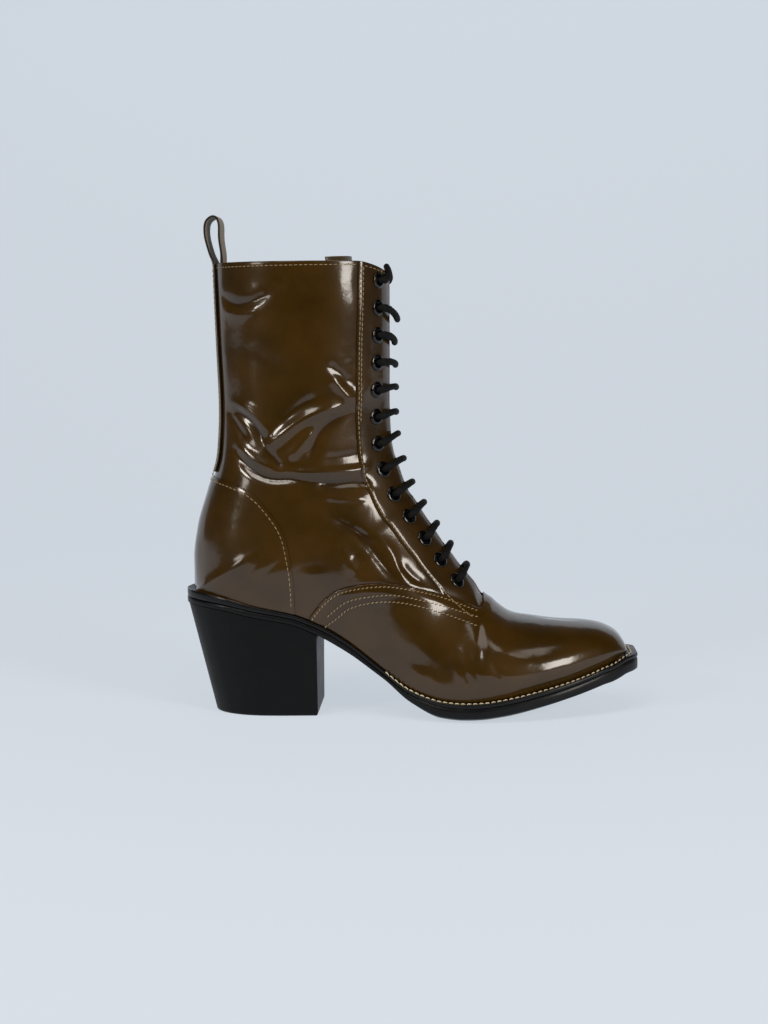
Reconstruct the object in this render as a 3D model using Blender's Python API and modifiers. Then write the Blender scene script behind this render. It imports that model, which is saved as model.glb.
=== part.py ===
"""Lace-up ankle boot for the right foot: last-shaped upper, welted sole and block heel.

Metres, +Z up, +X to the toe, +Y to the wearer's left, the inner side of this boot.
The origin is on the floor under the middle of the heel block.
"""
import math
from collections import namedtuple

import bmesh
import bpy
import numpy as np
from mathutils import Matrix, Vector

# Driving sizes of the last and the upper
UPPER_LENGTH = 0.2433
HEEL_SETBACK = 0.0433
SHAFT_HEIGHT = 0.1837
BALL_WIDTH = 0.084
SEAT_WIDTH = 0.060
SHAFT_WIDTH = 0.071
HEEL_LIFT = 0.0576
TOE_SPRING = 0.0235
WALL = 0.0018
GAP = 0.0003
SOLE_GAP = 0.0004
COUNTER_ROOM = 0.0004
TOE_TIP_ROOM = 0.0014

# Driving sizes of the sole
WELT_THICKNESS = 0.0022
WELT_INNER_REACH = 0.009
WELT_LIP = 0.0022
OUTSOLE_THICKNESS = 0.0078
OUTSOLE_BEVEL = 0.0008
OUTSOLE_CAMBER_WIDTH = 0.012
OUTSOLE_CAMBER = 0.0022
TREAD_SHARE = 0.45
HEEL_BREAST_X = 0.027
HEEL_FOOT_LENGTH = 0.0600
HEEL_FOOT_WIDTH = 0.051
HEEL_FOOT_ROUND = 0.0018
INSOLE_THICKNESS = 0.0025
INSOLE_TOE_ROOM = 0.0018
INSOLE_HEEL_ROOM = 0.002

# Driving sizes of the lacing and the overlays
THROAT_HALF_GAP = 0.007
EYELET_LINE = 0.0185
FACING_WIDTH = 0.0245
OVERLAY_THICKNESS = 0.0008
COLLAR_DIP = 0.0085
EYELET_COUNT = 13
FIRST_EYELET_INSET = 0.0070
LAST_EYELET_INSET = 0.0180
EYELET_BORE = 0.0046
EYELET_BARREL = 0.0058
EYELET_FLANGE = 0.009
EYELET_FLANGE_THICKNESS = 0.0006
EYELET_SEAT = 0.0004
EYELET_SEAT_HEIGHT = GAP + OVERLAY_THICKNESS + EYELET_SEAT
EYELET_BARREL_SHARE = 0.9
LACE_DIAMETER = 0.0028
TONGUE_THICKNESS = 0.0014
TONGUE_DROP = 0.0034
TONGUE_RISE = 0.0035
TONGUE_LEAN = 0.0028
TONGUE_CROWN = 0.0015
TONGUE_DROP_ROWS = 3.4
STRAP_WIDTH = 0.019
STRAP_THICKNESS = 0.0013
LOOP_HEIGHT = 0.0255
LOOP_DEPTH = 0.0065
LOOP_TAIL_GAP = 0.0009
LOOP_TAIL_ROWS = 0.5
LOOP_FLAT_RISE = 0.5

# How a girth is drawn: where the outline's slope is read, how far each curve's end pulls as a
# share of the girth's height or half width, and the climb over which the back line closes
OUTLINE_PROBE = 0.0016
WALL_FLARE = 0.28
FOOT_PULL = 0.16
TAPER_PULL = 0.55
TAPER_FROM = 0.7
WAIST_PULL = 0.5
BACK_PULL = 0.62
BACK_CLOSING = 0.20
COLLAR_DIP_FALL = 1.3

# Rooms and runs, as shares of the upper's length from the heel
COUNTER_ROOM_END = 0.32
COUNTER_ROOM_RUN = 0.05
TOE_TIP_START = 0.94
TOE_TIP_RUN = 0.04
INSOLE_TOE_START = 0.93
INSOLE_HEEL_END = 0.06
LIP_END = 0.20
LIP_RUN = 0.16

# Mesh fineness
SECTION_SAMPLES = 41
COLUMNS_BELOW_FACING = 5
STRAP_CELLS = 2
EYELET_SEGMENTS = 8
HOLE_SEGMENTS = 8
LACE_BEVEL_RESOLUTION = 1

# One row for each girth of the last, from the toe tip to the collar. front and back are where
# the girth's plane meets the ridge and the sole or back line, as shares of the upper's length.
# rise and climb are the heights of those two points over the feather line, as shares of the
# shaft's height. The half widths are shares of the named width, from the centre line.
Girth = namedtuple(
    "Girth", "front back rise climb follows lateral medial widest crown side cells")
GIRTHS = [
    Girth(1.000, 1.000, 0.001, 0.0, "ball", 0.119, 0.114, 0.03, 0.62, 0.60, 1),
    Girth(0.996, 0.996, 0.019, 0.0, "ball", 0.157, 0.147, 0.06, 0.62, 0.60, 1),
    Girth(0.985, 0.985, 0.050, 0.0, "ball", 0.202, 0.187, 0.14, 0.62, 0.60, 1),
    Girth(0.966, 0.966, 0.085, 0.0, "ball", 0.260, 0.237, 0.22, 0.62, 0.60, 1),
    Girth(0.937, 0.937, 0.116, 0.0, "ball", 0.326, 0.290, 0.28, 0.60, 0.58, 1),
    Girth(0.900, 0.900, 0.140, 0.0, "ball", 0.388, 0.345, 0.29, 0.58, 0.56, 1),
    Girth(0.850, 0.850, 0.163, 0.0, "ball", 0.450, 0.394, 0.28, 0.55, 0.55, 1),
    Girth(0.790, 0.788, 0.192, 0.0, "ball", 0.500, 0.440, 0.28, 0.50, 0.54, 1),
    Girth(0.737, 0.725, 0.222, 0.0, "ball", 0.530, 0.468, 0.28, 0.46, 0.52, 1),
    Girth(0.698, 0.665, 0.264, 0.0, "ball", 0.536, 0.468, 0.28, 0.42, 0.50, 1),
    Girth(0.668, 0.605, 0.295, 0.0, "ball", 0.520, 0.440, 0.28, 0.40, 0.48, 1),
    Girth(0.643, 0.540, 0.325, 0.0, "ball", 0.480, 0.405, 0.29, 0.39, 0.46, 2),
    Girth(0.603, 0.468, 0.345, 0.0, "ball", 0.440, 0.378, 0.32, 0.40, 0.46, 2),
    Girth(0.560, 0.392, 0.348, 0.0, "seat", 0.585, 0.525, 0.35, 0.42, 0.47, 2),
    Girth(0.528, 0.310, 0.340, 0.0, "seat", 0.570, 0.525, 0.38, 0.44, 0.48, 2),
    Girth(0.505, 0.225, 0.340, 0.0, "seat", 0.560, 0.530, 0.41, 0.46, 0.50, 2),
    Girth(0.488, 0.135, 0.362, 0.0, "seat", 0.550, 0.530, 0.43, 0.48, 0.52, 2),
    Girth(0.475, 0.065, 0.395, 0.0, "seat", 0.540, 0.525, 0.44, 0.50, 0.53, 2),
    Girth(0.466, 0.022, 0.420, 0.0, "seat", 0.535, 0.522, 0.45, 0.51, 0.54, 1),
    Girth(0.463, 0.004, 0.438, 0.0, "seat", 0.530, 0.520, 0.45, 0.52, 0.54, 1),
    Girth(0.461, 0.000, 0.450, 0.012, "seat", 0.527, 0.518, 0.45, 0.52, 0.55, 1),
    Girth(0.458, 0.000, 0.490, 0.095, "seat", 0.520, 0.510, 0.46, 0.54, 0.55, 2),
    Girth(0.456, 0.011, 0.545, 0.200, "shaft", 0.430, 0.425, 0.47, 0.56, 0.55, 1),
    Girth(0.455, 0.035, 0.605, 0.310, "shaft", 0.425, 0.420, 0.48, 0.58, 0.55, 2),
    Girth(0.455, 0.061, 0.670, 0.430, "shaft", 0.428, 0.423, 0.49, 0.60, 0.55, 1),
    Girth(0.455, 0.067, 0.745, 0.575, "shaft", 0.440, 0.435, 0.50, 0.60, 0.55, 1),
    Girth(0.455, 0.063, 0.850, 0.765, "shaft", 0.468, 0.462, 0.50, 0.60, 0.55, 2),
    Girth(0.455, 0.058, 1.000, 1.000, "shaft", 0.500, 0.492, 0.50, 0.60, 0.55, 0),
]
THROAT_END = 10.2
ANKLE_ROW = 22.0
FACING_ROW = THROAT_END
TONGUE_ROOT_ROW = 9.0
COUNTER_FIRST_ROW = 12.0
COUNTER_LAST_ROW = 26.0
STRIP_FOOT_ROW = 23.5
SEAT_ROW = 20.0

# Feather outline of the last: half widths from the centre line, and the centre line's swing
# to the inner side. The heel's rows follow the seat width.
Outline = namedtuple("Outline", "along follows lateral medial swing")
OUTLINE = [
    Outline(0.000, "seat", 0.000, 0.000, 0.000),
    Outline(0.006, "seat", 0.140, 0.140, 0.000),
    Outline(0.022, "seat", 0.250, 0.250, 0.000),
    Outline(0.050, "seat", 0.350, 0.350, 0.000),
    Outline(0.090, "seat", 0.427, 0.422, 0.000),
    Outline(0.140, "seat", 0.468, 0.453, 0.000),
    Outline(0.200, "seat", 0.480, 0.453, 0.000),
    Outline(0.270, "seat", 0.480, 0.425, 0.000),
    Outline(0.340, "seat", 0.485, 0.377, 0.000),
    Outline(0.410, "ball", 0.363, 0.250, 0.000),
    Outline(0.470, "ball", 0.398, 0.268, 0.000),
    Outline(0.530, "ball", 0.446, 0.321, 0.004),
    Outline(0.590, "ball", 0.488, 0.387, 0.010),
    Outline(0.650, "ball", 0.506, 0.430, 0.018),
    Outline(0.720, "ball", 0.500, 0.436, 0.030),
    Outline(0.790, "ball", 0.470, 0.412, 0.042),
    Outline(0.850, "ball", 0.424, 0.370, 0.054),
    Outline(0.900, "ball", 0.364, 0.323, 0.063),
    Outline(0.937, "ball", 0.308, 0.273, 0.069),
    Outline(0.966, "ball", 0.248, 0.225, 0.073),
    Outline(0.985, "ball", 0.196, 0.181, 0.076),
    Outline(0.996, "ball", 0.154, 0.144, 0.077),
    Outline(1.000, "ball", 0.118, 0.113, 0.077),
]

# Height of the feather line over its lowest point: shares of the heel lift and the toe spring
Feather = namedtuple("Feather", "along heel toe")
FEATHER = [
    Feather(0.000, 1.000, 0.00),
    Feather(0.073, 0.965, 0.00),
    Feather(0.141, 0.903, 0.00),
    Feather(0.231, 0.830, 0.00),
    Feather(0.284, 0.745, 0.00),
    Feather(0.356, 0.568, 0.00),
    Feather(0.437, 0.307, 0.00),
    Feather(0.505, 0.108, 0.00),
    Feather(0.573, 0.016, 0.00),
    Feather(0.620, 0.000, 0.00),
    Feather(0.660, 0.000, 0.01),
    Feather(0.707, 0.000, 0.07),
    Feather(0.797, 0.000, 0.26),
    Feather(0.888, 0.000, 0.50),
    Feather(0.958, 0.000, 0.75),
    Feather(1.000, 0.000, 0.96),
    Feather(1.030, 0.000, 1.00),
]

# Sole edge beyond the feather line, outsole thickness at its middle as a share of the full
# thickness, and how far the outsole's edge lifts as a share of the camber
Edge = namedtuple("Edge", "along reach thickness camber")
EDGES = [
    Edge(0.000, 0.0052, 0.40, 0.00),
    Edge(0.060, 0.0036, 0.40, 0.00),
    Edge(0.220, 0.0020, 0.38, 0.00),
    Edge(0.330, 0.0012, 0.52, 0.20),
    Edge(0.440, 0.0010, 0.42, 0.40),
    Edge(0.500, 0.0022, 0.70, 0.70),
    Edge(0.570, 0.0036, 1.00, 1.00),
    Edge(0.720, 0.0042, 1.00, 1.00),
    Edge(0.900, 0.0045, 0.93, 0.70),
    Edge(1.000, 0.0060, 0.96, 0.40),
]

# Side view of the counter's upper edge, heel back to feather: shares of the upper's length
# and of the shaft's height over the heel seat
CounterPoint = namedtuple("CounterPoint", "along height")
COUNTER_EDGE = [
    CounterPoint(-0.080, 0.364),
    CounterPoint(0.030, 0.355),
    CounterPoint(0.146, 0.306),
    CounterPoint(0.192, 0.242),
    CounterPoint(0.219, 0.182),
    CounterPoint(0.231, 0.115),
    CounterPoint(0.238, 0.055),
    CounterPoint(0.240, -0.100),
    CounterPoint(-0.080, -0.100),
]

# Inner side of the pull loop from the outer leg over the top to the inner leg: shares of its
# height over the collar and of its depth
LoopTurn = namedtuple("LoopTurn", "rise back")
LOOP_TURNS = [
    LoopTurn(0.25, -0.28),
    LoopTurn(0.60, -0.52),
    LoopTurn(0.85, -0.52),
    LoopTurn(0.96, -0.26),
    LoopTurn(1.00, 0.15),
    LoopTurn(0.95, 0.52),
    LoopTurn(0.82, 0.72),
    LoopTurn(0.55, 0.76),
    LoopTurn(0.22, 0.66),
]

# Height of a lace bar's axis over the form, in steps from the eyelet to the middle of the throat
BarStep = namedtuple("BarStep", "inward height")
BAR_BORE_DEPTH = 0.0010
BAR_CLEARANCE = 0.0004
BAR_CREST = 0.0002
BAR_EDGE_INSET = 0.0005


def smooth(knots, values, where):
    """Monotone cubic through a table's rows, which never overshoots them."""
    knots = np.asarray(knots, float)
    values = np.asarray(values, float)
    steps = np.diff(knots)[:, None]
    slopes = np.diff(values, axis=0) / steps
    tangents = np.zeros_like(values)
    tangents[0] = slopes[0]
    tangents[-1] = slopes[-1]
    same_way = slopes[:-1] * slopes[1:] > 0
    total = slopes[:-1] + slopes[1:]
    mean = 2 * slopes[:-1] * slopes[1:] / np.where(same_way, total, 1.0)
    tangents[1:-1] = np.where(same_way, mean, 0.0)
    i = int(np.clip(np.searchsorted(knots, where) - 1, 0, len(knots) - 2))
    h = knots[i + 1] - knots[i]
    t = (where - knots[i]) / h
    return (values[i] * (1 + 2 * t) * (1 - t) ** 2 + tangents[i] * h * t * (1 - t) ** 2
            + values[i + 1] * t * t * (3 - 2 * t) + tangents[i + 1] * h * t * t * (t - 1))


WIDTHS = {"ball": BALL_WIDTH, "seat": SEAT_WIDTH, "shaft": SHAFT_WIDTH}
OUTLINE_KNOTS = [row.along for row in OUTLINE]
OUTLINE_VALUES = [
    (row.lateral * WIDTHS[row.follows], row.medial * WIDTHS[row.follows], row.swing * BALL_WIDTH)
    for row in OUTLINE]
FEATHER_KNOTS = [row.along for row in FEATHER]
FEATHER_VALUES = [(row.heel * HEEL_LIFT + row.toe * TOE_SPRING,) for row in FEATHER]
EDGE_KNOTS = [row.along for row in EDGES]
EDGE_VALUES = [
    (row.reach, row.thickness * OUTSOLE_THICKNESS, row.camber * OUTSOLE_CAMBER)
    for row in EDGES]
GIRTH_KNOTS = list(range(len(GIRTHS)))
GIRTH_VALUES = [
    (row.front, row.back, row.rise, row.climb, row.lateral * WIDTHS[row.follows],
     row.medial * WIDTHS[row.follows], row.widest, row.crown, row.side)
    for row in GIRTHS]
COLLAR_ROW = float(len(GIRTHS) - 1)
BALL_FEATHER = OUTSOLE_THICKNESS + SOLE_GAP + WELT_THICKNESS + GAP


def along_to_x(along):
    """World x of a share of the upper's length from the heel."""
    return along * UPPER_LENGTH - HEEL_SETBACK


def x_to_along(x):
    return (x + HEEL_SETBACK) / UPPER_LENGTH


def feather_height(along):
    """Height of the upper's lower edge at a share of the length."""
    along = min(max(along, 0.0), FEATHER_KNOTS[-1])
    return BALL_FEATHER + smooth(FEATHER_KNOTS, FEATHER_VALUES, along)[0]


def outline_half_widths(along):
    """Half width on each side of the centre line, and the centre line's y."""
    return smooth(OUTLINE_KNOTS, OUTLINE_VALUES, min(max(along, 0.0), 1.0))


def bezier(p0, p1, p2, p3, count):
    """Points along a cubic curve."""
    t = np.linspace(0.0, 1.0, count)[:, None]
    return (p0 * (1 - t) ** 3 + 3 * p1 * t * (1 - t) ** 2
            + 3 * p2 * t * t * (1 - t) + p3 * t ** 3)


def half_girth(row, side):
    """Outline of one girth on one side, ridge to feather or back line, as 3-D points."""
    front, back, rise, climb, lateral, medial, widest, crown, flank = smooth(
        GIRTH_KNOTS, GIRTH_VALUES, row)
    seat = feather_height(back)
    top = np.array([along_to_x(front), 0.0, seat + rise * SHAFT_HEIGHT])
    low = np.array([along_to_x(back), 0.0, seat + climb * SHAFT_HEIGHT])
    swing_top = outline_half_widths(front)[2]
    swing_low = outline_half_widths(back)[2]
    chord = top - low
    length = float(np.linalg.norm(chord))
    lean = chord[0] / length
    half = lateral if side < 0 else medial
    corner = outline_half_widths(back)[0 if side < 0 else 1]
    if climb > 0:
        corner = 0.0
    ahead = outline_half_widths(back + OUTLINE_PROBE / UPPER_LENGTH)[0 if side < 0 else 1]
    flare = WALL_FLARE * (1 - lean)
    slope = max((ahead - corner) / OUTLINE_PROBE * lean, 0.0) + flare
    closing = min(climb / BACK_CLOSING, 1.0)
    entry = np.array([1.0, slope]) / math.hypot(1.0, slope)
    entry = entry * (1 - closing) + np.array([0.0, 1.0]) * closing
    entry_length = FOOT_PULL * length * (1 - closing) + BACK_PULL * half * closing
    if corner < half * TAPER_FROM:
        entry_length = max(entry_length, TAPER_PULL * (half - corner) * entry[1])
    crest = np.array([length, 0.0])
    waist = np.array([widest * length, half])
    foot = np.array([0.0, corner])
    upper_part = bezier(
        crest, np.array([length, crown * half]),
        waist + np.array([flank * (1 - widest) * length, 0.0]), waist, SECTION_SAMPLES)
    lower_part = bezier(
        waist, waist - np.array([WAIST_PULL * widest * length, 0.0]),
        foot + entry * entry_length, foot, SECTION_SAMPLES)
    flat = np.vstack([upper_part, lower_part[1:]])
    points = low + np.outer(flat[:, 0] / length, chord)
    height_share = flat[:, 0] / length
    points[:, 1] = side * flat[:, 1] + swing_low + (swing_top - swing_low) * height_share
    return points


def girth_length(points):
    """Running length along a line of points, 0 at its first."""
    return np.concatenate([[0.0], np.cumsum(np.linalg.norm(np.diff(points, axis=0), axis=1))])


def form_point(row, side, distance=None, share=None):
    """Point of the last's outer form on a girth, at a distance from the ridge or a share."""
    points = half_girth(row, side)
    run = girth_length(points)
    if distance is None:
        distance = share * run[-1]
    return np.array([np.interp(distance, run, points[:, axis]) for axis in range(3)])


def column_shares(row, side):
    """Where the grid's columns lie on a girth, as shares of its length from the ridge."""
    length = girth_length(half_girth(max(row, THROAT_END), side))[-1]
    first = [0.0, THROAT_HALF_GAP / length, EYELET_LINE / length,
             (THROAT_HALF_GAP + FACING_WIDTH) / length]
    last = 1.0 - STRAP_WIDTH / 2 / length
    between = np.linspace(first[-1], last, COLUMNS_BELOW_FACING + 1)[1:]
    return first + list(between) + [1.0]


THROAT_COLUMN = 1
SEAM_COLUMN = 3
BACK_COLUMN = SEAM_COLUMN + COLUMNS_BELOW_FACING + 1
COLLAR_HALF_GIRTH = girth_length(half_girth(COLLAR_ROW, 1))[-1]


def dipped_row(row, column, share):
    """Lowers the collar's front corner: rows above the ankle close up towards the ridge."""
    if row <= ANKLE_ROW:
        return row
    seam_share = (THROAT_HALF_GAP + FACING_WIDTH) / COLLAR_HALF_GIRTH
    fall = max(0.0, 1.0 - share / seam_share) ** COLLAR_DIP_FALL
    last_cell = (GIRTHS[-1].rise - GIRTHS[-2].rise) * SHAFT_HEIGHT
    rows_down = fall * COLLAR_DIP / last_cell
    return ANKLE_ROW + (row - ANKLE_ROW) * (1.0 - rows_down / (COLLAR_ROW - ANKLE_ROW))


def grid_rows(first=0.0, last=COLLAR_ROW):
    """The form's grid rows from one row of the table to another, the same for every piece."""
    rows = []
    for index, girth in enumerate(GIRTHS):
        for cell in range(max(girth.cells, 1)):
            row = index + cell / max(girth.cells, 1)
            if abs(row - THROAT_END) > 0.25:
                rows.append(row)
    rows = sorted(rows + [THROAT_END])
    return [row for row in rows if first <= row <= last]


def form_table():
    """Points of the whole form by row, and the normals that its facets have at them."""
    rows = grid_rows()
    columns = range(-BACK_COLUMN, BACK_COLUMN + 1)
    points = np.zeros((len(rows), 2 * BACK_COLUMN + 1, 3))
    for i, row in enumerate(rows):
        for column in columns:
            side = -1 if column < 0 else 1
            share = column_shares(row, side)[abs(column)]
            there = dipped_row(row, abs(column), share)
            points[i, column + BACK_COLUMN] = form_point(there, side, share=share)
    normals = np.zeros_like(points)
    for i in range(len(rows) - 1):
        for j in range(2 * BACK_COLUMN):
            corners = [(i, j), (i, j + 1), (i + 1, j + 1), (i + 1, j)]
            for triangle in ((0, 1, 2), (0, 2, 3)):
                a, b, c = (points[corners[k]] for k in triangle)
                facing = np.cross(b - a, c - a)
                for k in triangle:
                    normals[corners[k]] += facing
        if rows[i] >= SEAT_ROW:
            seam = normals[i, 0] + normals[i, -1]
            normals[i, 0] = seam
            normals[i, -1] = seam
    seam = normals[-1, 0] + normals[-1, -1]
    normals[-1, 0] = seam
    normals[-1, -1] = seam
    sizes = np.linalg.norm(normals, axis=2, keepdims=True)
    normals = normals / np.maximum(sizes, 1e-12)
    return dict(zip(rows, points)), dict(zip(rows, normals))


def form_grid(rows, columns, offset):
    """Grid of points on the form moved out by offset(row): one line of points per row.

    Columns run from -BACK_COLUMN on the lateral side over 0 at the ridge to the medial side.
    """
    return [
        [FORM_POINTS[row][column + BACK_COLUMN]
         + FORM_NORMALS[row][column + BACK_COLUMN] * offset(row) for column in columns]
        for row in rows]


def form_frame(row, side, share):
    """Point and outward normal of the form, away from its toe tip and feather edge."""
    row_step = 0.05
    share_step = 0.01
    low = max(row - row_step, 0.0)
    high = min(row + row_step, COLLAR_ROW)
    point = form_point(row, side, share=share)
    along = form_point(high, side, share=share) - form_point(low, side, share=share)
    if share > 1.0 - share_step / 2:
        across = np.array([0.0, -float(side), 0.0])
    else:
        across = (form_point(row, side, share=min(share + share_step, 1.0))
                  - form_point(row, side, share=share - share_step))
    normal = np.cross(across, along) * side
    return point, normal / np.linalg.norm(normal)


FORM_POINTS, FORM_NORMALS = form_table()


def add_object(name, mesh, colour, roughness, collection, metallic=0.0):
    """Adds an object with a material of its own to a collection."""
    material = bpy.data.materials.new(name + "_material")
    material.use_nodes = True
    shader = material.node_tree.nodes["Principled BSDF"]
    shader.inputs["Base Color"].default_value = (*colour, 1.0)
    shader.inputs["Roughness"].default_value = roughness
    shader.inputs["Metallic"].default_value = metallic
    mesh.materials.append(material)
    piece = bpy.data.objects.new(name, mesh)
    collection.objects.link(piece)
    return piece


def mesh_from_faces(name, vertices, faces):
    """Mesh from points and faces, with doubled points joined and flat faces dropped."""
    mesh = bpy.data.meshes.new(name)
    mesh.from_pydata([tuple(point) for point in vertices], [], faces)
    work = bmesh.new()
    work.from_mesh(mesh)
    bmesh.ops.remove_doubles(work, verts=work.verts, dist=0.00002)
    bmesh.ops.dissolve_degenerate(work, edges=work.edges, dist=0.00002)
    bmesh.ops.recalc_face_normals(work, faces=work.faces)
    work.to_mesh(mesh)
    work.free()
    return mesh


def sheet_mesh(name, lines, keep=None):
    """Open sheet through a grid of points. keep(line, cell) says which cells are there.

    Every cell is split along the same diagonal, so sheets at two offsets stay parallel.
    """
    wide = len(lines[0])
    vertices = [point for line in lines for point in line]
    faces = []
    for i in range(len(lines) - 1):
        for j in range(wide - 1):
            if keep is None or keep(i, j):
                a = i * wide + j
                faces += [(a, a + 1, a + wide + 1), (a, a + wide + 1, a + wide)]
    mesh = bpy.data.meshes.new(name)
    mesh.from_pydata([tuple(point) for point in vertices], [], faces)
    work = bmesh.new()
    work.from_mesh(mesh)
    loose = [vertex for vertex in work.verts if not vertex.link_faces]
    bmesh.ops.delete(work, geom=loose, context="VERTS")
    bmesh.ops.remove_doubles(work, verts=work.verts, dist=0.00002)
    bmesh.ops.dissolve_degenerate(work, edges=work.edges, dist=0.00002)
    work.to_mesh(mesh)
    work.free()
    return mesh


def thicken(piece, thickness, offset):
    """Solidify: offset -1 grows the sheet inwards and +1 outwards."""
    modifier = piece.modifiers.new("Wall", "SOLIDIFY")
    modifier.thickness = thickness
    modifier.offset = offset
    modifier.use_even_offset = False
    return modifier


def cut(piece, cutter, operation="DIFFERENCE"):
    """Boolean of a piece with a closed cutter."""
    modifier = piece.modifiers.new("Cut by " + cutter.name, "BOOLEAN")
    modifier.operation = operation
    modifier.object = cutter
    modifier.solver = "EXACT"
    return modifier


def as_cutter(piece):
    """Shows an object as a wire guide that is left out of renders."""
    piece.hide_render = True
    piece.display_type = "WIRE"
    return piece


def slab_mesh(name, rings):
    """Solid between rings from top to bottom. A ring is a list of lateral and medial pairs."""
    pairs = len(rings[0])
    vertices = []
    for ring in rings:
        vertices += [lateral for lateral, medial in ring]
        vertices += [medial for lateral, medial in ring]
    faces = []
    size = 2 * pairs
    for level in range(len(rings) - 1):
        base = level * size
        loop = list(range(pairs)) + list(range(size - 1, pairs - 1, -1))
        for k, here in enumerate(loop):
            after = loop[(k + 1) % size]
            faces.append((base + here, base + after, base + size + after, base + size + here))
    for base in (0, (len(rings) - 1) * size):
        for k in range(pairs - 1):
            faces.append((base + k, base + k + 1, base + pairs + k + 1, base + pairs + k))
    return mesh_from_faces(name, vertices, faces)


def sole_stations():
    """Shares of the length where the sole pieces have a pair of outline points, toe to heel.

    They are the upper's own rows, so the facets of wall, welt and insole match, and the breast.
    """
    rows = [row for row in grid_rows() if row <= SEAT_ROW]
    backs = [smooth(GIRTH_KNOTS, GIRTH_VALUES, row)[1] for row in rows]
    return sorted(backs + [x_to_along(HEEL_BREAST_X)], reverse=True)


STATIONS = sole_stations()


def outline_pair(along, reach):
    """The outline's lateral and medial points at a station, moved out by reach, as (x, y)."""
    step = 0.002
    points = []
    for side in (-1, 1):
        index = 0 if side < 0 else 1
        here = outline_half_widths(along)
        ahead = min(along + step, 1.0)
        behind = max(along - step, 0.0)
        wide_ahead = outline_half_widths(ahead)[index]
        wide_behind = outline_half_widths(behind)[index]
        run = np.array([(ahead - behind) * UPPER_LENGTH, side * (wide_ahead - wide_behind)])
        normal = np.array([run[1], -run[0]]) * -side
        normal = normal / np.linalg.norm(normal)
        if normal[1] * side < 0:
            normal = -normal
        start = np.array([along_to_x(along), here[2] + side * here[index]])
        points.append(start + normal * reach)
    return points


def edge_values(along):
    """Reach of the sole edge, outsole thickness at its middle, and the edge's lift."""
    return smooth(EDGE_KNOTS, EDGE_VALUES, min(max(along, 0.0), 1.0))


def edge_room(along):
    """How much lower the welt lies where the edge above it leans down: counter and toe tip."""
    heel = min(max((COUNTER_ROOM_END - along) / COUNTER_ROOM_RUN, 0.0), 1.0)
    toe = min(max((along - TOE_TIP_START) / TOE_TIP_RUN, 0.0), 1.0)
    return COUNTER_ROOM * heel + TOE_TIP_ROOM * toe


def outsole_top(along):
    return feather_height(along) - GAP - edge_room(along) - WELT_THICKNESS - SOLE_GAP


def outsole_bottom(along):
    return max(outsole_top(along) - edge_values(along)[1], 0.0)


def plate_ring(reach_of, height_of):
    """Ring of pairs at every station."""
    ring = []
    for along in STATIONS:
        pair = outline_pair(along, reach_of(along))
        ring.append(tuple((x, y, height_of(x_to_along(x))) for x, y in pair))
    return ring


def wall_keep(rows, columns):
    """The upper's cells: all of the form but the throat between its two edges."""
    def keep(i, j):
        in_throat = rows[i] > THROAT_END - 0.01
        at_ridge = abs(columns[j]) <= THROAT_COLUMN and abs(columns[j + 1]) <= THROAT_COLUMN
        return not (in_throat and at_ridge)
    return keep


def make_upper(collection):
    """One hollow wall, open at collar, throat and sole."""
    rows = grid_rows()
    columns = list(range(-BACK_COLUMN, BACK_COLUMN + 1))
    lines = form_grid(rows, columns, lambda row: 0.0)
    mesh = sheet_mesh("upper", lines, wall_keep(rows, columns))
    upper = add_object("upper", mesh, (0.045, 0.028, 0.010), 0.22, collection)
    thicken(upper, WALL, -1.0)
    return upper


def make_facing(name, side, collection):
    """Eyestay from the throat's edge to its seam, laid on the upper."""
    rows = grid_rows(first=FACING_ROW)
    columns = sorted(side * column for column in range(THROAT_COLUMN, SEAM_COLUMN + 1))
    mesh = sheet_mesh(name, form_grid(rows, columns, lambda row: GAP))
    facing = add_object(name, mesh, (0.042, 0.026, 0.010), 0.22, collection)
    thicken(facing, OVERLAY_THICKNESS, 1.0)
    return facing


def make_counter(collection, cutters):
    """Heel counter: a layer of the upper's own form inside its side-view outline."""
    rows = grid_rows(COUNTER_FIRST_ROW, COUNTER_LAST_ROW)
    columns = list(range(-BACK_COLUMN, BACK_COLUMN + 1))
    lines = form_grid(rows, columns, lambda row: GAP)

    def keep(i, j):
        return abs(columns[j]) >= SEAM_COLUMN and abs(columns[j + 1]) >= SEAM_COLUMN

    mesh = sheet_mesh("counter", lines, keep)
    counter = add_object("counter", mesh, (0.045, 0.028, 0.010), 0.22, collection)
    thicken(counter, OVERLAY_THICKNESS, 1.0)
    seat = feather_height(0.0)
    curve = bpy.data.curves.new("counter_outline", "CURVE")
    curve.dimensions = "2D"
    curve.fill_mode = "BOTH"
    curve.extrude = SEAT_WIDTH
    spline = curve.splines.new("POLY")
    spline.points.add(len(COUNTER_EDGE) - 1)
    for point, place in zip(spline.points, COUNTER_EDGE):
        point.co = (along_to_x(place.along), seat + place.height * SHAFT_HEIGHT, 0.0, 1.0)
    spline.use_cyclic_u = True
    outline = bpy.data.objects.new("counter_outline", curve)
    outline.rotation_euler = (math.pi / 2, 0.0, 0.0)
    cutters.objects.link(outline)
    cutter = curve_to_mesh(outline, cutters)
    cut(counter, cutter, "INTERSECT")
    return counter


def curve_to_mesh(source, collection):
    """Makes a curve object a closed mesh object of the same name and place."""
    bpy.context.view_layer.update()
    graph = bpy.context.evaluated_depsgraph_get()
    mesh = bpy.data.meshes.new_from_object(source.evaluated_get(graph))
    work = bmesh.new()
    work.from_mesh(mesh)
    bmesh.ops.remove_doubles(work, verts=work.verts, dist=0.00001)
    bmesh.ops.recalc_face_normals(work, faces=work.faces)
    work.to_mesh(mesh)
    work.free()
    name = source.name
    place = source.matrix_world.copy()
    bpy.data.objects.remove(source)
    piece = bpy.data.objects.new(name, mesh)
    piece.matrix_world = place
    collection.objects.link(piece)
    return as_cutter(piece)


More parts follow.
